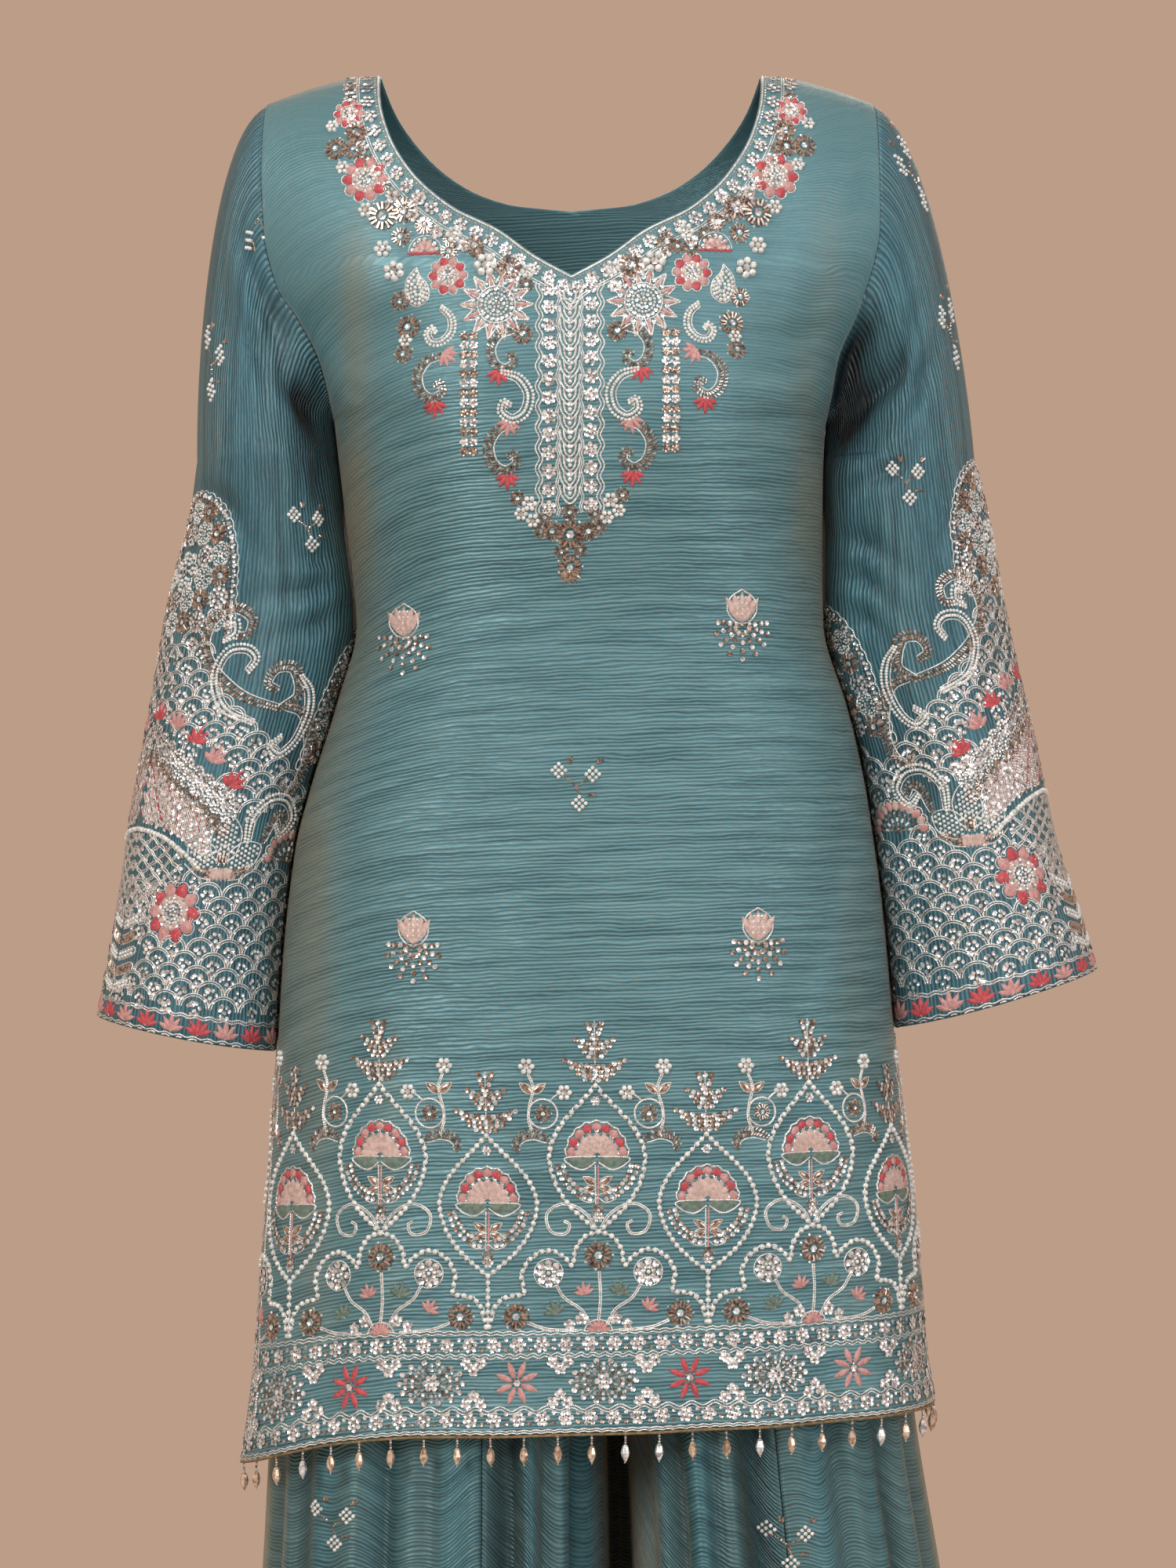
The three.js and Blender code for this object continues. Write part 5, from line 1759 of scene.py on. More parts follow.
def placket_edge(side):
    """The waved cords and flowers along one side of the placket."""
    y = np.linspace(-140, -278, 90)
    wave = np.stack([18.2 + 1.2 * np.sin(y * 0.52), y], -1)
    double_cord(side, "silver", wave, 1.0, 1.0)
    inner = np.stack([7.0 + 0.7 * np.sin(y * 0.6), y], -1)
    double_cord(side, "silver", inner, 0.6, 0.8)
    for k in range(13):
        rosette(side.at(12.4, -144 - 10.8 * k, turn=k), 4.8)
    for x, z, r in ((24, -271, 5.2), (29, -277, 4.6), (22, -281, 4.8)):
        pearl_flower(side.at(x, z), r)
    for x, z, r in ((31, -268, 4.6), (17, -287, 4.6), (15, -279, 4.4)):
        bead_flower(side.at(x, z), r)


def lotus_cap(pen, s, kind):
    """A half round of sequins on pale petals, over a coral foot."""
    for i in range(7):
        turn = math.pi * (0.05 + 0.9 * i / 6)
        c, d = polar(s, turn)
        pen.petal(("blush", "pink")[i % 2], 0.1 * c, 0.1 * d, turn, 0.8 * s, 0.4 * s, 0.7)
        pen.bead("cup", "clear", 0.78 * c, 0.78 * d, 1.5)
        pen.bead("cup", "clear", 0.48 * c, 0.1 + 0.48 * d, 1.4)
        pen.bead("cut", "silver", 0.3 * c, 0.3 * d, 0.9)
    for i in range(5):
        pen.petal(kind, (i - 2.4) * 0.4 * s, -0.12 * s, 0.1, 0.44 * s, 0.26 * s, 0.9)
    pen.cord("silver", arc(0, 0, 1.05 * s, 0, math.pi, 1.8), 0.8)


BUTIS = table(
    ["x", "z", "size"],
    [[-105, -350, 16.5], [98, -342, 16.5], [-98, -534, 16.5], [107, -532, 16.5]],
)

SLEEVE_TWIST = {-1: 34, 1: 20}

LEG_SPRAYS = {
    -1: [(-148, -880), (-60, -985), (-170, -1075), (-80, -1170), (-190, -1250)],
    1: [(126, -889), (70, -1000), (190, -1060), (110, -1170), (220, -1245)],
}

SPRAYS = {
    "front": table(["x", "z"], [[-1, -437]]),
    "back": table(["x", "z"], [[-92, -260], [96, -300], [4, -200], [-60, -430], [80, -450], [0, -340]]),
    -1: table(["x", "z"], [[-191, -95], [-223, -180], [-164, -281]]),
    1: table(["x", "z"], [[203, -62], [228, -160], [198, -252]]),
}

SLEEVE_MOTIFS = [
    # motif, colour, round from the design's middle, up from the cuff, size, turn, which way it faces
    ("tulip", "pink", 19, 194, 11.5, -0.2, 1),
    ("tulip", "coral", 36, 183, 11.5, -0.3, 1),
    ("tulip", "pink", 51, 170, 11.5, -0.4, 1),
    ("tulip", "coral", 66, 154, 11.5, -0.5, 1),
    ("lotus", "pearl", 71, 104, 29, 0, 1),
    ("blossom", "coral", 43, 76, 18, 0, 1),
    ("arch", "pink", 118, 108, 20, 0, 1),
]


def sleeve_work(work, twist):
    """Bead work from a sleeve's elbow to its cuff, the same each way round from the design's middle."""
    pen = Pen(work)
    large = [(71, 119, 24), (43, 76, 17), (118, 118, 18), (0, 50, 20), (99, 136, 14)]
    top = along(
        [0, 26, 35, 43, 62, 84, 100, 116, 140, 180],
        [258, 255, 230, 214, 199, 189, 172, 154, 166, 164],
    )
    line = along([0, 68, 69], [203, 153, 60])
    foot = along([0, 30, 50, 62], [92, 96, 104, 112])

    def hidden(x, y):
        x = abs(x)
        within_fan = x < 64 and foot(x) < y < line(x)
        return within_fan or y > top(x) or any(math.hypot(x - a, y - b) < gap for a, b, gap in large)

    for flip in (-1, 1):
        half = pen.at(twist, 0, flip=flip)
        scales(half, SCALE["half"] * (flip > 0), 178, 20, 254, hidden)
        draw(half, SLEEVE_MOTIFS)
        dome(half.at(146, 166), 36, 82)
        for kind, width, points in SLEEVE_VINES:
            vine(half, points, kind, width)
        ribbed_fan(half)
    tulip(pen.at(twist, 200), 11.5, "coral")
    dome(pen.at(twist, 252), 44, 84)
    lobes(pen.at(twist, 0))
    for i in range(21):
        tulip(pen.at(17.2 * i, 4.2), 10.5, ("coral", "pink")[i % 2])
    around = np.linspace(0, 362, 190)
    for level in (1.6, 14.5):
        wave = np.stack([around, level + 0.6 * np.sin(around * 0.7)], -1)
        double_cord(pen, "silver", wave, 0.75, 1.1)


def dome(pen, half, height):
    """A rounded dome filled with flowers of beads, inside a scalloped edge."""
    outline = np.array([(1.06, -0.04), (1.02, 0.3), (0.96, 0.6), (0.72, 0.86), (0.32, 1.0), (0, 1.04)])
    edge = curved(outline * [half, height], 1.9)
    scallops = np.abs(np.sin(np.arange(len(edge)) * 0.8))[:, None]
    for side in pen.mirrored():
        side.cord("silver", edge + (beside(edge, -1.3) - edge) * scallops, 0.8)
        string(side, "cup", "clear", beside(edge, 2.0), 3.1, 1.35, 0.15)
        string(side, "dome", "pearl", beside(edge, 1.0), 6.2, 0.95, 0.1)
        string(side, "tube", "brown", beside(edge, 4.6), 2.4, 1.0, 0.2)
    pearl_blossom(pen.at(0, 0.46 * height), 12)
    flowers = ((bead_flower, 7.0), (sequin_flower, 7.2), (pearl_blossom, 7.4))
    pitch = 13.4
    for row in range(int(height / pitch)):
        y = 7 + row * pitch
        reach = half * math.sqrt(max(0.05, 1 - (y / height) ** 3)) - 3
        count = max(1, int(2 * reach / pitch + 0.5))
        for i in range(count):
            x = (2 * (i + 0.5) / count - 1) * reach
            if math.hypot(x, y - 0.46 * height) >= 15:
                flower, size = flowers[(row * 2 + i) % 3]
                flower(pen.at(x, y + 0.8 * (i % 2), turn=row + i), size)
    for i in range(int(half * height / 26)):
        x, y = half * rng.uniform(-0.86, 0.86), height * rng.uniform(0.02, 0.9)
        if abs(x) < half * math.sqrt(1 - (y / height) ** 3) - 4:
            pen.bead("cut", ("silver", "brown", "clear")[i % 3], x, y, 0.9)


def ribbed_fan(pen):
    """A slanting block of pale ribs with sequins between, under a band of flowers and over a net of cords."""
    foot = along([0, 16, 34, 50, 62], [131, 129, 124, 115, 108])
    slope = 0.5
    for i in range(19):
        x = -24 + i * 4.3
        high = 175 - 0.72 * max(x, 0)
        low = foot(min(62, max(0, x + slope * 40)))
        rib = stepped([(x, high), (x + slope * (high - low), low)], 2.6)
        rib = rib[(rib[:, 0] > 0) & (rib[:, 0] < 60)]
        if len(rib) < 4:
            continue
        for a, b in zip(rib[:-3:3], rib[3::3]):
            reach = float(np.hypot(*(b - a)))
            kind = "coral" if i % 5 == 1 else "blush" if i % 2 else "pink"
            pen.petal(kind, a[0], a[1], math.atan2(b[1] - a[1], b[0] - a[0]), 1.05 * reach, 1.3, 0.8)
        pen.cord("silver", rib + [1.5, 0.5], 0.95)
        pen.cord("silver", rib + [2.7, 0.9], 0.85)
        for k, (a, b) in enumerate(rib[::2]):
            pen.bead("cup", "clear", a + (0.9, 2.2)[k % 2], b, 1.5 if (i + k) % 5 else 2.1)
    for i in range(9):
        x = 3 + 7.9 * i
        sequin_flower(pen.at(x, 194 - 0.72 * x, turn=i), 5.6)
        sequin_flower(pen.at(x + 3, 184.5 - 0.72 * x, turn=i), 5.6, "pearl")
        bead_flower(pen.at(x + 1, 175.5 - 0.72 * x, turn=i), 5.0)
        for dx, dy in ((4, 194), (-1, 189), (6.6, 183), (-3, 179), (4, 173), (1, 199)):
            pen.bead("cut", ("brown", "silver")[i % 2], x + dx, dy - 0.72 * (x + dx), 0.95)
    pearl_chain(pen, curved([(0, 128), (14, 126), (30, 121), (44, 113), (56, 104)], 1.9), 3.0)

    def in_net(x, y):
        return 0 <= x < 46 and 66 < y < foot(x) - 5 and math.hypot(x - 43, y - 76) > 17.5

    for k in range(-6, 12):
        x = np.linspace(0, 46, 30)
        for lean in (0.75, -0.75):
            line = np.stack([x, 62 + 9.5 * k + (lean < 0) * 34 + lean * x + 0.5 * np.sin(x * 0.8)], -1)
            inside_only(pen, "silver", line, 1.0, in_net)
            inside_only(pen, "silver", line + [0, 1.7], 0.9, in_net)
    for k in range(70):
        x, y = 46 * math.sqrt(rng.uniform(0, 1)), rng.uniform(66, 126)
        if in_net(x, y):
            pen.bead(("cup", "cut")[k % 2], ("clear", "brown")[k % 2], x, y, (1.3, 0.9)[k % 2])


def lobes(pen):
    """Slanting lobes of pearls and of brown beads up the middle of the design, above the cuff."""
    fillings = (("dome", "pearl", 1.25, 0, 0), ("tube", "brown", 0.95, 1.2, 3.4))
    for i in range(5):
        form, kind, radius, turn, length = fillings[i % 2]
        for side in pen.mirrored(0, 22 + 10.5 * i):
            for row in range(2):
                for k in range(5):
                    side.bead(form, kind, 2.6 + 2.8 * k, 2.6 * row + 1.1 * k, radius, turn, length)
            side.cord("silver", curved([(1, -1.8), (8, 0.4), (17, 5), (14, 9), (1, 4.2)], 1.9), 1.0)


def pearl_lotus(pen, s, kind):
    """A lotus with three wide petals filled with pearls, brown beads in its heart, and leaves at its foot."""
    for turn, size in ((-1.05, 0.86), (1.05, 0.86), (0, 1.0)):
        petal = pen.at(0, 0, turn=math.pi / 2 + turn)
        reach = s * size
        for row in range(-3, 4):
            for k in range(12):
                a, b = 1.5 + 2.9 * k + 1.45 * (row % 2), row * 2.5
                if ((a / reach - 0.6) / 0.42) ** 2 + (b / reach / 0.26) ** 2 < 1:
                    petal.bead("dome", kind, a, b, 1.12, -math.pi / 2 - turn)
        edge = [(0.1, 0.03), (0.3, 0.26), (0.75, 0.32), (1.1, 0), (0.75, -0.32), (0.3, -0.26), (0.1, -0.03)]
        petal.cord("silver", curved(np.array(edge) * reach, 1.9), 1.0)
    for row in range(3):
        for k in range(3):
            pen.bead("tube", "brown", (row - 1) * 2.0, 0.16 * s + 2.3 * k, 0.95, math.pi / 2, 2.2)
    heart = [(-3.6, 0.1 * s), (-3.2, 0.4 * s), (0, 0.5 * s), (3.2, 0.4 * s), (3.6, 0.1 * s)]
    pen.cord("silver", curved(heart, 1.8), 0.9)
    for i in range(8):
        lean = 0.16 * (i - 3.5)
        pen.petal("blush", (i - 3.5) * 1.5, 0.02 * s, lean - math.pi / 2, 0.3 * s, 0.13 * s, 0.7)
    for side in pen.mirrored():
        for k in range(7):
            for row in range(2):
                x, y = 0.26 * s + 2.0 * k, -0.16 * s + 0.8 * k + 2.6 * row
                side.bead("tube", ("brown", "brown", "pearl")[row + (k > 4)], x, y, 0.9, 1.1, 2.6)
        leaf = [(0.18 * s, -0.24 * s), (0.5 * s, -0.18 * s), (0.85 * s, 0.08 * s)]
        side.cord("silver", curved(leaf, 1.8), 0.9)


# The motifs that the tables of bead work name
MOTIFS = {
    "blossom": blossom,
    "beads": bead_flower,
    "floret": floret,
    "pearls": pearl_flower,
    "scroll": scroll,
    "tulip": tulip,
    "burst": burst,
    "paisley": paisley,
    "cap": lotus_cap,
    "arch": arched_cap,
    "lotus": pearl_lotus,
}


# Laying bead work on the cloth
def bead_forms():
    """Small meshes of each bead: points with x along it, y across it and z off the cloth, and triangles."""
    ring = np.arange(6) * math.tau / 6
    low = np.stack([np.cos(ring), np.sin(ring), 0 * ring], -1)
    mid = np.stack([0.86 * np.cos(ring + 0.5), 0.86 * np.sin(ring + 0.5), 0 * ring + 0.85], -1)
    i = np.arange(6)
    n = (i + 1) % 6
    band = np.concatenate([np.stack([i, n, i + 6], -1), np.stack([n, n + 6, i + 6], -1)])
    cap = np.stack([i + 6, n + 6, np.full(6, 12)], -1)
    dome = (np.concatenate([low, mid, [[0, 0, 1.35]]]), np.concatenate([band, cap]))
    cut = (np.concatenate([low, [[0, 0, 0.95]]]), np.stack([i, n, np.full(6, 6)], -1))
    rim = np.stack([np.cos(ring), np.sin(ring), 0 * ring + 0.5], -1)
    cup = (np.concatenate([rim, [[0, 0, 0.24]]]), np.stack([i, n, np.full(6, 6)], -1))
    tube_foot = [[-0.5, -1, 0], [0.5, -1, 0], [0.5, 1, 0], [-0.5, 1, 0]]
    tube_top = [[-0.42, -0.45, 1.1], [0.42, -0.45, 1.1], [0.42, 0.45, 1.1], [-0.42, 0.45, 1.1]]
    tube_points = np.array(tube_foot + tube_top)
    tube_sides = [[0, 1, 5], [0, 5, 4], [2, 3, 7], [2, 7, 6], [1, 2, 6], [1, 6, 5], [3, 0, 4], [3, 4, 7]]
    tube_faces = np.array(tube_sides + [[4, 5, 6], [4, 6, 7]])
    return {"dome": dome, "cut": cut, "cup": cup, "tube": (tube_points, tube_faces)}


def axes_on(place, u, v):
    """Places on the cloth with the directions along u, along v and off the cloth."""
    step = 0.8
    p = place(u, v)
    along_u = place(u + step, v) - place(u - step, v)
    along_v = place(u, v + step) - place(u, v - step)
    along_u /= np.maximum(np.linalg.norm(along_u, axis=-1, keepdims=True), 1e-9)
    normal = np.cross(along_u, along_v)
    normal /= np.maximum(np.linalg.norm(normal, axis=-1, keepdims=True), 1e-9)
    return p, along_u, np.cross(normal, along_u), normal


class Builder:
    """Collects triangles of several kinds of bead for one mesh."""

    def __init__(self):
        self.points, self.faces, self.kinds, self.uv, self.smooth = [], [], [], [], []
        self.count = 0

    def take(self, points, faces, kind, uv, rounded):
        self.points.append(points)
        self.faces.append(faces + self.count)
        self.kinds.append(np.full(len(faces), KINDS.index(kind)))
        self.uv.append(uv)
        self.smooth.append(np.full(len(faces), rounded))
        self.count += len(points)

    def piece(self, name):
        return mesh_object(
            name,
            np.concatenate(self.points),
            np.concatenate(self.faces),
            np.concatenate(self.uv),
            materials=[BEADS[k] for k in KINDS],
            face_material=np.concatenate(self.kinds),
            smooth_faces=np.concatenate(self.smooth),
        )


def lay_beads(builder, beads, place, keep, outward):
    forms = bead_forms()
    for form, (points, faces) in forms.items():
        for kind in KINDS:
            chosen = [b for b in beads if b[0] == form and b[1] == kind]
            if not chosen:
                continue
            u, v, radius, turn, length = np.array([b[2:] for b in chosen]).T
            inside = keep(u, v)
            u, v, radius, turn, length = (a[inside] for a in (u, v, radius, turn, length))
            if not len(u):
                continue
            p, tu, tv, normal = axes_on(place, u, v)
            normal = normal * outward
            tilt = 0.16 if form == "cup" else 0.05
            normal = normal + tilt * (tu * rng.normal(size=(len(u), 1)) + tv * rng.normal(size=(len(u), 1)))
            normal /= np.linalg.norm(normal, axis=1, keepdims=True)
            c, s = np.cos(turn)[:, None], np.sin(turn)[:, None]
            x_way = tu * c + tv * s
            y_way = np.cross(normal, x_way)
            x_size = np.where(length > 0, length, radius) if form == "tube" else radius
            made = (
                p[:, None]
                + x_way[:, None] * (points[None, :, 0] * x_size[:, None])[..., None]
                + y_way[:, None] * (points[None, :, 1] * radius[:, None])[..., None]
                + normal[:, None] * (points[None, :, 2] * radius[:, None] - 0.12)[..., None]
            )
            index = faces[None] + (np.arange(len(u)) * len(points))[:, None, None]
            uv = np.zeros((len(u) * len(points), 2))
            builder.take(made.reshape(-1, 3), index.reshape(-1, 3), kind, uv, form == "dome")


def lay_cords(builder, cords, place, keep, outward):
    profile = np.array([[-0.5, -0.1], [0, 0.72], [0.5, -0.1]])
    for kind, flat, width in cords:
        inside = keep(flat[:, 0], flat[:, 1])
        edges = np.flatnonzero(np.diff(np.concatenate([[0], inside.astype(int), [0]])))
        for start, end in zip(edges[::2], edges[1::2]):
            if end - start < 2:
                continue
            u, v = flat[start:end].T
            p, _, _, normal = axes_on(place, u, v)
            normal = normal * outward
            way = np.gradient(p, axis=0)
            way /= np.maximum(np.linalg.norm(way, axis=1, keepdims=True), 1e-9)
            side = np.cross(way, normal)
            made = p[:, None] + side[:, None] * (profile[:, 0] * width)[None, :, None]
            made = made + normal[:, None] * (profile[:, 1] * width)[None, :, None]
            quads = lattice(len(u), len(profile))
            faces = triangles(quads)
            run = np.arange(len(u))[:, None] * 0.0018 + 0 * profile[None, :, 0]
            uv = np.stack([run, profile[None, :, 0] * width * MM + 0 * run], -1).reshape(-1, 2)
            builder.take(made.reshape(-1, 3), faces, kind, uv, True)


def lay_petals(builder, petals, place, keep, outward):
    if not petals:
        return
    t = np.array([0, 0.22, 0.5, 0.78, 1.0])
    wide = np.array([0.12, 0.8, 1.0, 0.66, 0.02])
    across = np.array([-1, -0.55, 0.55, 1])
    lift = np.array([-0.1, 0.85, 0.85, -0.1])
    local_x = np.repeat(t, 4)
    local_y = (wide[:, None] * across[None, :] * 0.5).ravel()
    height = (np.array([0.5, 1, 1, 0.9, 0.3])[:, None] * lift[None, :]).ravel()
    quads = lattice(5, 4)
    faces = triangles(quads)
    faces = faces[:, ::-1] if outward > 0 else faces
    for kind in KINDS:
        chosen = [p[1:] for p in petals if p[0] == kind]
        if not chosen:
            continue
        u, v, turn, length, width, rise = np.array(chosen).T
        inside = keep(u, v)
        u, v, turn, length, width, rise = (a[inside] for a in (u, v, turn, length, width, rise))
        if not len(u):
            continue
        x = local_x[None] * length[:, None]
        y = local_y[None] * width[:, None]
        c, s = np.cos(turn)[:, None], np.sin(turn)[:, None]
        flat_u = u[:, None] + x * c - y * s
        flat_v = v[:, None] + x * s + y * c
        p, _, _, normal = axes_on(place, flat_u.ravel(), flat_v.ravel())
        made = p + normal * outward * (height[None] * rise[:, None]).ravel()[:, None]
        index = faces[None] + (np.arange(len(u)) * len(local_x))[:, None, None]
        uv = np.stack([x.ravel(), y.ravel()], -1) * MM
        builder.take(made, index.reshape(-1, 3), kind, uv, True)


def lay(name, work, place, keep, outward):
    builder = Builder()
    lay_beads(builder, work.beads, place, keep, outward)
    lay_cords(builder, work.cords, place, keep, outward)
    lay_petals(builder, work.petals, place, keep, outward)
    piece = builder.piece(name)
    return piece


class Skirt:
    """Turns distance round from the middle, and height in the flat cloth, into places on the lower tunic."""

    STEP = 4.0

    def __init__(self, face):
        self.face = face
        self.levels = np.linspace(HEM_Z, -420, 55)
        reach = np.sin(np.linspace(-1, 1, 161) * math.pi / 2)
        from_centre = reach[None, :] * body_half(self.levels)[:, None]
        grid = level_point(face, from_centre, self.levels[:, None])
        lengths = run_lengths(grid, 1) / MM
        lengths -= lengths[:, [80]]
        self.low, self.high = lengths[:, 0], lengths[:, -1]
        self.spots = np.arange(-320, 321, self.STEP)
        self.table = np.stack([np.interp(self.spots, s, c) for s, c in zip(lengths, from_centre)])

    def place(self, s, level):
        row = (level - self.levels[0]) / (self.levels[1] - self.levels[0])
        row = np.clip(row, 0, len(self.levels) - 1.001)
        column = np.clip((s - self.spots[0]) / self.STEP, 0, len(self.spots) - 1.001)
        i, j = row.astype(int), column.astype(int)
        from_centre = between_cells(self.table, i, j, j + 1, row - i, column - j)
        return level_point(self.face, from_centre, level)

    def keep(self, s, level):
        low = np.interp(level, self.levels, self.low)
        high = np.interp(level, self.levels, self.high)
        return (s > low + 2.2) & (s < high - 2.2)

    def limit(self, level, flip):
        return np.interp(level, self.levels, self.high if flip > 0 else self.low)


class SleeveMap:
    """Turns distance round a sleeve, 360 in all, and height above the cuff into places on it."""

    def __init__(self, side):
        grid, _ = sleeve_grid(side)
        self.grid = grid
        self.rows, self.columns = grid.shape[:2]
        lengths = run_lengths(grid, 0).mean(1) / MM
        self.up = lengths[-1] - lengths

    def place(self, a, b):
        row = np.interp(b, self.up[::-1], np.arange(self.rows)[::-1].astype(float))
        turn = np.mod(1 - a / 180, 2)
        column = turn / 2 * self.columns
        i = np.clip(row.astype(int), 0, self.rows - 2)
        j = np.floor(column).astype(int)
        down, right = (row - i)[..., None], (column - j)[..., None]
        j, next_j = j % self.columns, (j + 1) % self.columns
        return between_cells(self.grid, i, j, next_j, down, right)

    def above_cuff(self, a, b):
        return b > 0.4

    def nearest(self, x, z):
        """Where on the front of the sleeve a place seen from the front lies."""
        a, b = np.meshgrid(np.linspace(2, 178, 89), np.linspace(2, self.up[0] - 2, 200))
        p = self.place(a.ravel(), b.ravel())
        i = np.argmin((p[:, 0] - x) ** 2 + (p[:, 2] - z) ** 2)
        return a.ravel()[i], b.ravel()[i]


# The fringe
DROP = {"count": 26, "string": 6.5, "end": 18.6}


def fringe(face, skirt):
    """Crystal drops on short strings of seed beads, hung from a bound edge along the hem."""
    builder = Builder()
    levels = np.full(400, HEM_Z)
    s = np.linspace(skirt.low[0], skirt.high[0], 400)
    hem = skirt.place(s, levels) - [0, 0, 0.6]
    lengths = np.concatenate([[0], np.cumsum(np.linalg.norm(np.diff(hem, axis=0), axis=1))])
    inside = 1 if face == "front" else -1
    out = np.gradient(hem, axis=0)
    out = np.stack([-out[:, 1], out[:, 0], 0 * s], -1)
    out /= np.linalg.norm(out, axis=1, keepdims=True)
    if (out[:, 1] * inside).sum() > 0:
        out = -out
    ring = np.arange(6) * math.tau / 6
    around = np.stack([np.cos(ring) * 1.0, np.sin(ring) * 0.9], -1)
    centre = hem - out * 0.5 - [0, 0, 0.7]
    bound = centre[:, None] + out[:, None] * around[None, :, :1] + np.array([0, 0, 1.0]) * around[None, :, 1:]
    quads = lattice(len(s), 6, around=True)
    faces = triangles(quads)
    run = np.repeat(lengths * MM, 6)
    uv = np.stack([run, np.tile(ring, len(s)) * 0.001], -1)
    edge = mesh_object(f"hem_binding_{face}", bound.reshape(-1, 3), faces, uv, materials=[BINDING])
    crystal = np.array([(0.9, 0), (1.8, -1.3), (2.7, -4.8), (2.2, -7.2), (0.8, -9.8), (0.05, -10.4)])
    for n in range(DROP["count"]):
        at = (n + 0.35) / (DROP["count"] - 0.3) * lengths[-1]
        top = np.array([np.interp(at, lengths, centre[:, i]) for i in range(3)])
        sway = np.array([rng.normal(0, 0.03), rng.normal(0, 0.03), -1])
        for k in range(4):
            turned_bead(builder, top + sway * (0.6 + 1.6 * k), 0.8, ("brown", "silver")[k % 2])
        kind = ("crystal", "crystal", "clear")[rng.integers(3)]
        facets(builder, top + sway * DROP["string"], crystal, 8, kind, rng.uniform(0, 1))
        turned_bead(builder, top + sway * (DROP["string"] + 10.6), 0.55, "silver")
    drops = builder.piece(f"crystal_fringe_{face}")
    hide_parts(f"fringe_{face}")
    return edge, drops


def facets(builder, top, profile, sides, kind, turn):
    ring = np.arange(sides) * math.tau / sides + turn
    made = np.stack(
        [top + [r * math.cos(a), r * math.sin(a), z] for r, z in profile[::-1] for a in ring]
    )
    quads = lattice(len(profile), sides, around=True)
    faces = triangles(quads)
    last = len(made) - sides
    cap = np.array([[last, last + i, last + i + 1] for i in range(1, sides - 1)])
    builder.take(made, np.concatenate([faces, cap]), kind, np.zeros((len(made), 2)), False)


def turned_bead(builder, centre, radius, kind):
    profile = np.array([(0.35, 1.0), (0.9, 0.5), (1.0, -0.1), (0.8, -0.7), (0.2, -1.0)]) * radius
    facets(builder, centre, profile, 6, kind, rng.uniform(0, 1))


# Laying each piece of bead work
def seen_from_front(face):
    """The tunic by x and height as seen from the front: the place on it, and which places are cloth."""

    def place(x, z):
        return on_body(face, x, z)

    def keep(x, z):
        from_centre = np.abs(x - body_centre(z))
        lowest = NECK[face]["z"][0]
        neck = np.where(z > lowest, along(NECK[face]["z"], NECK[face]["x"])(z), -1)
        inside = (from_centre > neck + 0.6) & (from_centre < body_half(z) - 3)
        return inside & (z < shoulder_z(np.abs(x + 5)) - 1.2)

    return place, keep


def back_yoke(work):
    """A plain edging round the back of the neck."""
    pen = Pen(work)
    neck_edging(pen, "back")


def scattered(work, place_of_bud=BUTIS, sprays=()):
    pen = Pen(work)
    for x, z, size in zip(*(place_of_bud[n] for n in ("x", "z", "size"))):
        buti(pen.at(x, z), size)
    for x, z in zip(sprays["x"], sprays["z"]):
        pearl_spray(pen.at(x, z), 16)


def trouser_spray(side, face):
    """Pearl sprays down one leg, laid by x and height as seen from the front."""
    share = np.linspace(0.01, 0.99, 90)

    def place(x, z):
        outline = leg_outline(side, face, share[None, :], z[:, None])[..., 0]
        f = np.array([np.interp(at * side, (row * side)[::-1], share[::-1]) for at, row in zip(x, outline)])
        return leg_point(side, face, f, z)

    def keep(x, z):
        return np.abs(x) > 0

    work = Work()
    pen = Pen(work)
    for x, z in LEG_SPRAYS[side]:
        pearl_spray(pen.at(x, z), 16)
    word = "right" if side < 0 else "left"
    outward = 1 if face == "front" else -1
    return lay(f"embroidery_leg_{word}_{face}", work, place, keep, outward)


def bead_work():
    """All the bead work, as lists of the pieces that lie on each sheet of cloth."""
    on = {}
    for face, outward in (("front", 1), ("back", -1)):
        skirt = Skirt(face)
        border = Work()
        hem_border(border)
        slit_edges(border, skirt.limit)
        hem = lay(f"embroidery_hem_{face}", border, skirt.place, skirt.keep, outward)
        upper = Work()
        (yoke_work if face == "front" else back_yoke)(upper)
        scattered(upper, sprays=SPRAYS[face])
        place, keep = seen_from_front(face)
        yoke = lay(f"embroidery_yoke_{face}", upper, place, keep, outward)
        on[f"tunic_{face}"] = [hem, yoke, *fringe(face, skirt)]
    for side, word in ((-1, "right"), (1, "left")):
        cloth = SleeveMap(side)
        work = Work()
        sleeve_work(work, SLEEVE_TWIST[side])
        for x, z in zip(SPRAYS[side]["x"], SPRAYS[side]["z"]):
            a, b = cloth.nearest(x, z)
            pearl_spray(Pen(work).at(a, b, flip=-side), 15)
            pearl_spray(Pen(work).at(-a, b + 20), 15)
        piece = lay(f"embroidery_sleeve_{word}", work, cloth.place, cloth.above_cuff, -side)
        on[f"sleeve_{word}"] = [piece]
    return on


# Light, floor and camera
def area_light(name, place, target, size, power, colour=(1, 1, 1)):
    light = bpy.data.lights.new(name, "AREA")
    light.shape = "DISK"
    light.size = size
    light.energy = power
    light.color = colour
    lamp = bpy.data.objects.new(name, light)
    lamp.location = place
    look = Vector(target) - Vector(place)
    lamp.rotation_euler = look.to_track_quat("-Z", "Y").to_euler()
    bpy.context.scene.collection.objects.link(lamp)


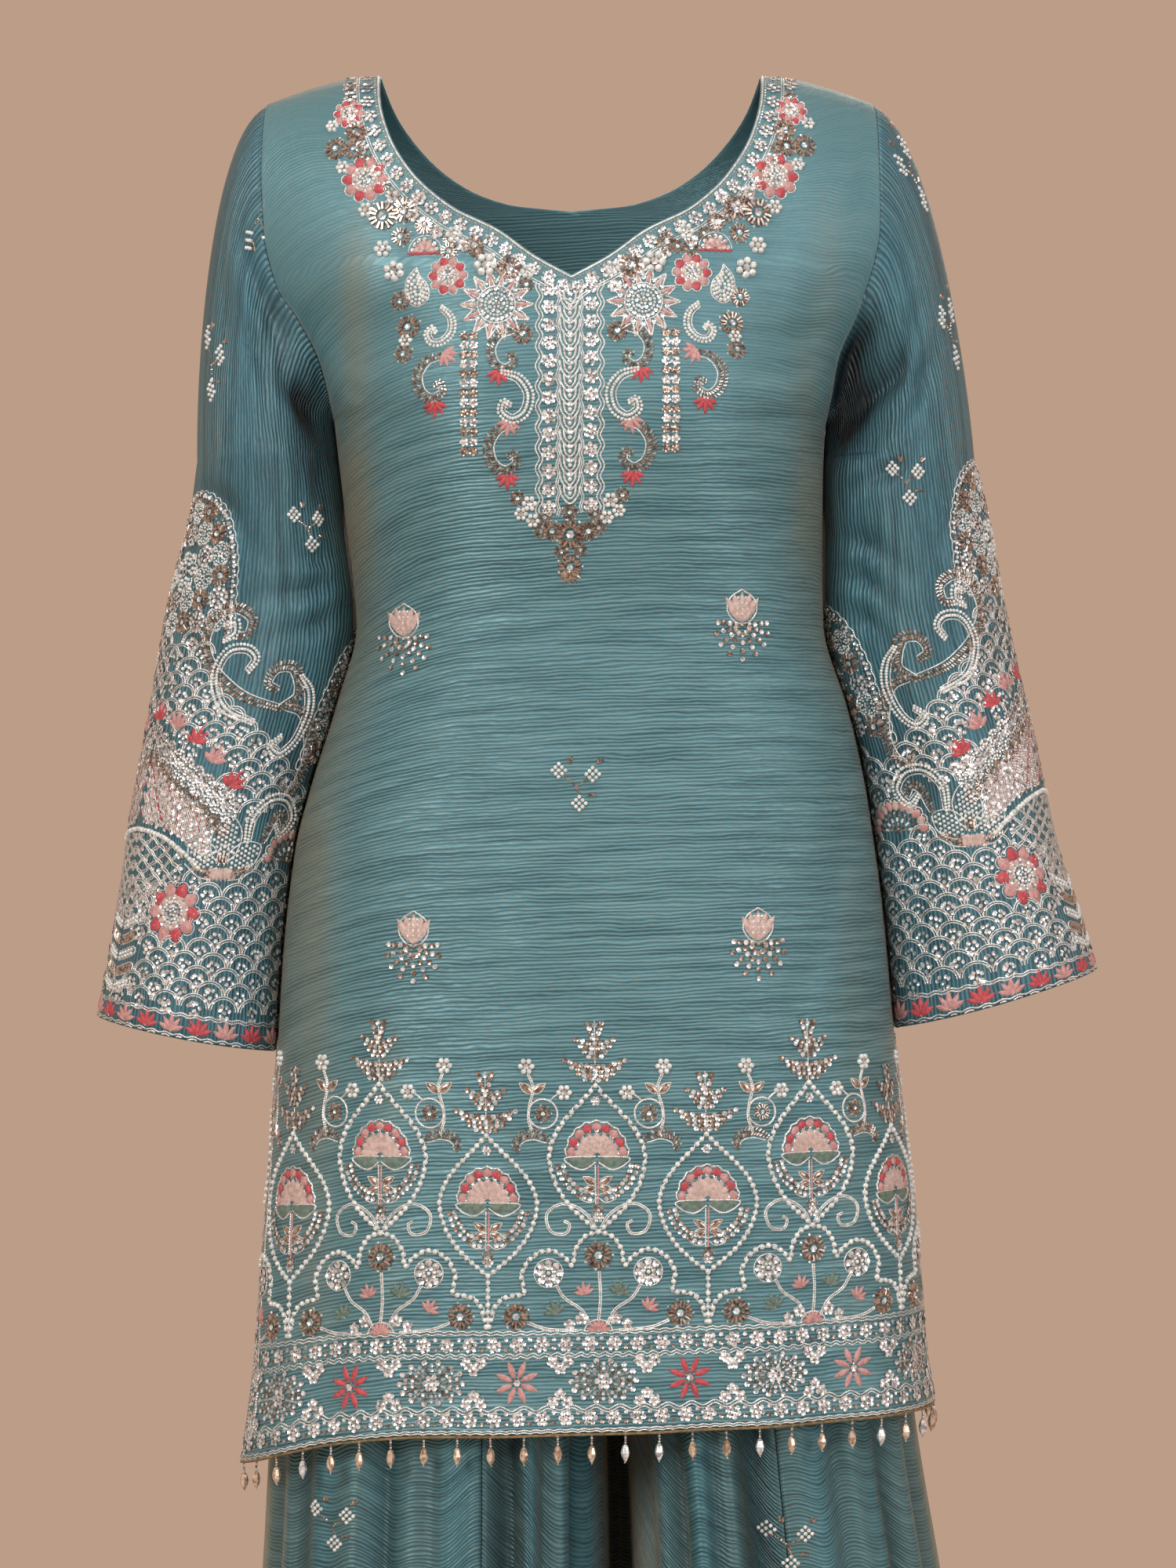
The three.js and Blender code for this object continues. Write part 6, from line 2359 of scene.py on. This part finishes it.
def studio():
    bpy.context.scene.view_settings.view_transform = "Standard"
    world = bpy.data.worlds.new("studio")
    bpy.context.scene.world = world
    world.use_nodes = True
    background = world.node_tree.nodes["Background"]
    background.inputs["Color"].default_value = (0.503, 0.337, 0.246, 1)
    background.inputs["Strength"].default_value = 1.0
    area_light("key", (-1.7, -2.6, 1.0), (0, 0, -0.45), 1.6, 70, (1.0, 0.98, 0.95))
    area_light("fill", (2.2, -2.4, 0.2), (0, 0, -0.5), 2.2, 47, (0.93, 0.97, 1.0))
    area_light("top", (0.2, -0.6, 2.2), (0, 0, -0.4), 1.4, 20, (1, 1, 1))
    area_light("rear", (0.4, 2.8, 0.9), (0, 0, -0.5), 2.0, 20, (1, 0.98, 0.95))
    bpy.ops.mesh.primitive_circle_add(vertices=96, radius=1.25, fill_type="NGON", location=(0, 0, -1.3463))
    floor = bpy.context.object
    floor.name = "floor"
    material, _, shader = nodes_of("floor")
    shader.inputs["Base Color"].default_value = (0.62, 0.55, 0.49, 1)
    shader.inputs["Roughness"].default_value = 0.8
    floor.data.materials.append(material)


def camera():
    eye = bpy.data.cameras.new("camera")
    eye.sensor_width = 36
    eye.lens = 36 * 2600 / 970
    view = bpy.data.objects.new("camera", eye)
    view.location = (0.0058, -2.6, -0.437)
    view.rotation_euler = (math.pi / 2, 0, 0)
    bpy.context.scene.collection.objects.link(view)
    bpy.context.scene.camera = view


def cloth():
    """All the sheets of cloth, by the name of the solid that each stands for."""
    sheets = {
        "tunic_front": tunic_panel("front"),
        "tunic_back": tunic_panel("back"),
        "sleeve_right": sleeve_cloth(-1, "sleeve_right"),
        "sleeve_left": sleeve_cloth(1, "sleeve_left"),
    }
    for side, word in ((-1, "right"), (1, "left")):
        seam = FRONT_SEAM[side]
        outer, inner, back = (f"leg_{word}_{part}" for part in ("front_outer", "front_inner", "back"))
        sheets[outer] = leg_panel(outer, side, "front", 0, seam, 54, OUTER_LEG_SILK)
        sheets[inner] = leg_panel(inner, side, "front", seam, 1, 44, INNER_LEG_SILK)
        sheets[back] = leg_panel(back, side, "back", 0, 1, 76, OUTER_LEG_SILK)
    return sheets


def finish_waistband():
    """The waistband keeps its solid and takes the trousers' silk."""
    band = bpy.data.objects["waistband"]
    for slot in band.material_slots:
        slot.material = BAND_SILK


camera()
studio()
sheets = cloth()

on_sheets = bead_work()
for name in ("right", "left"):
    side = -1 if name == "right" else 1
    on_sheets[f"leg_{name}_front_outer"] = [trouser_spray(side, "front")]
    on_sheets[f"leg_{name}_back"] = [trouser_spray(side, "back")]
finish_waistband()
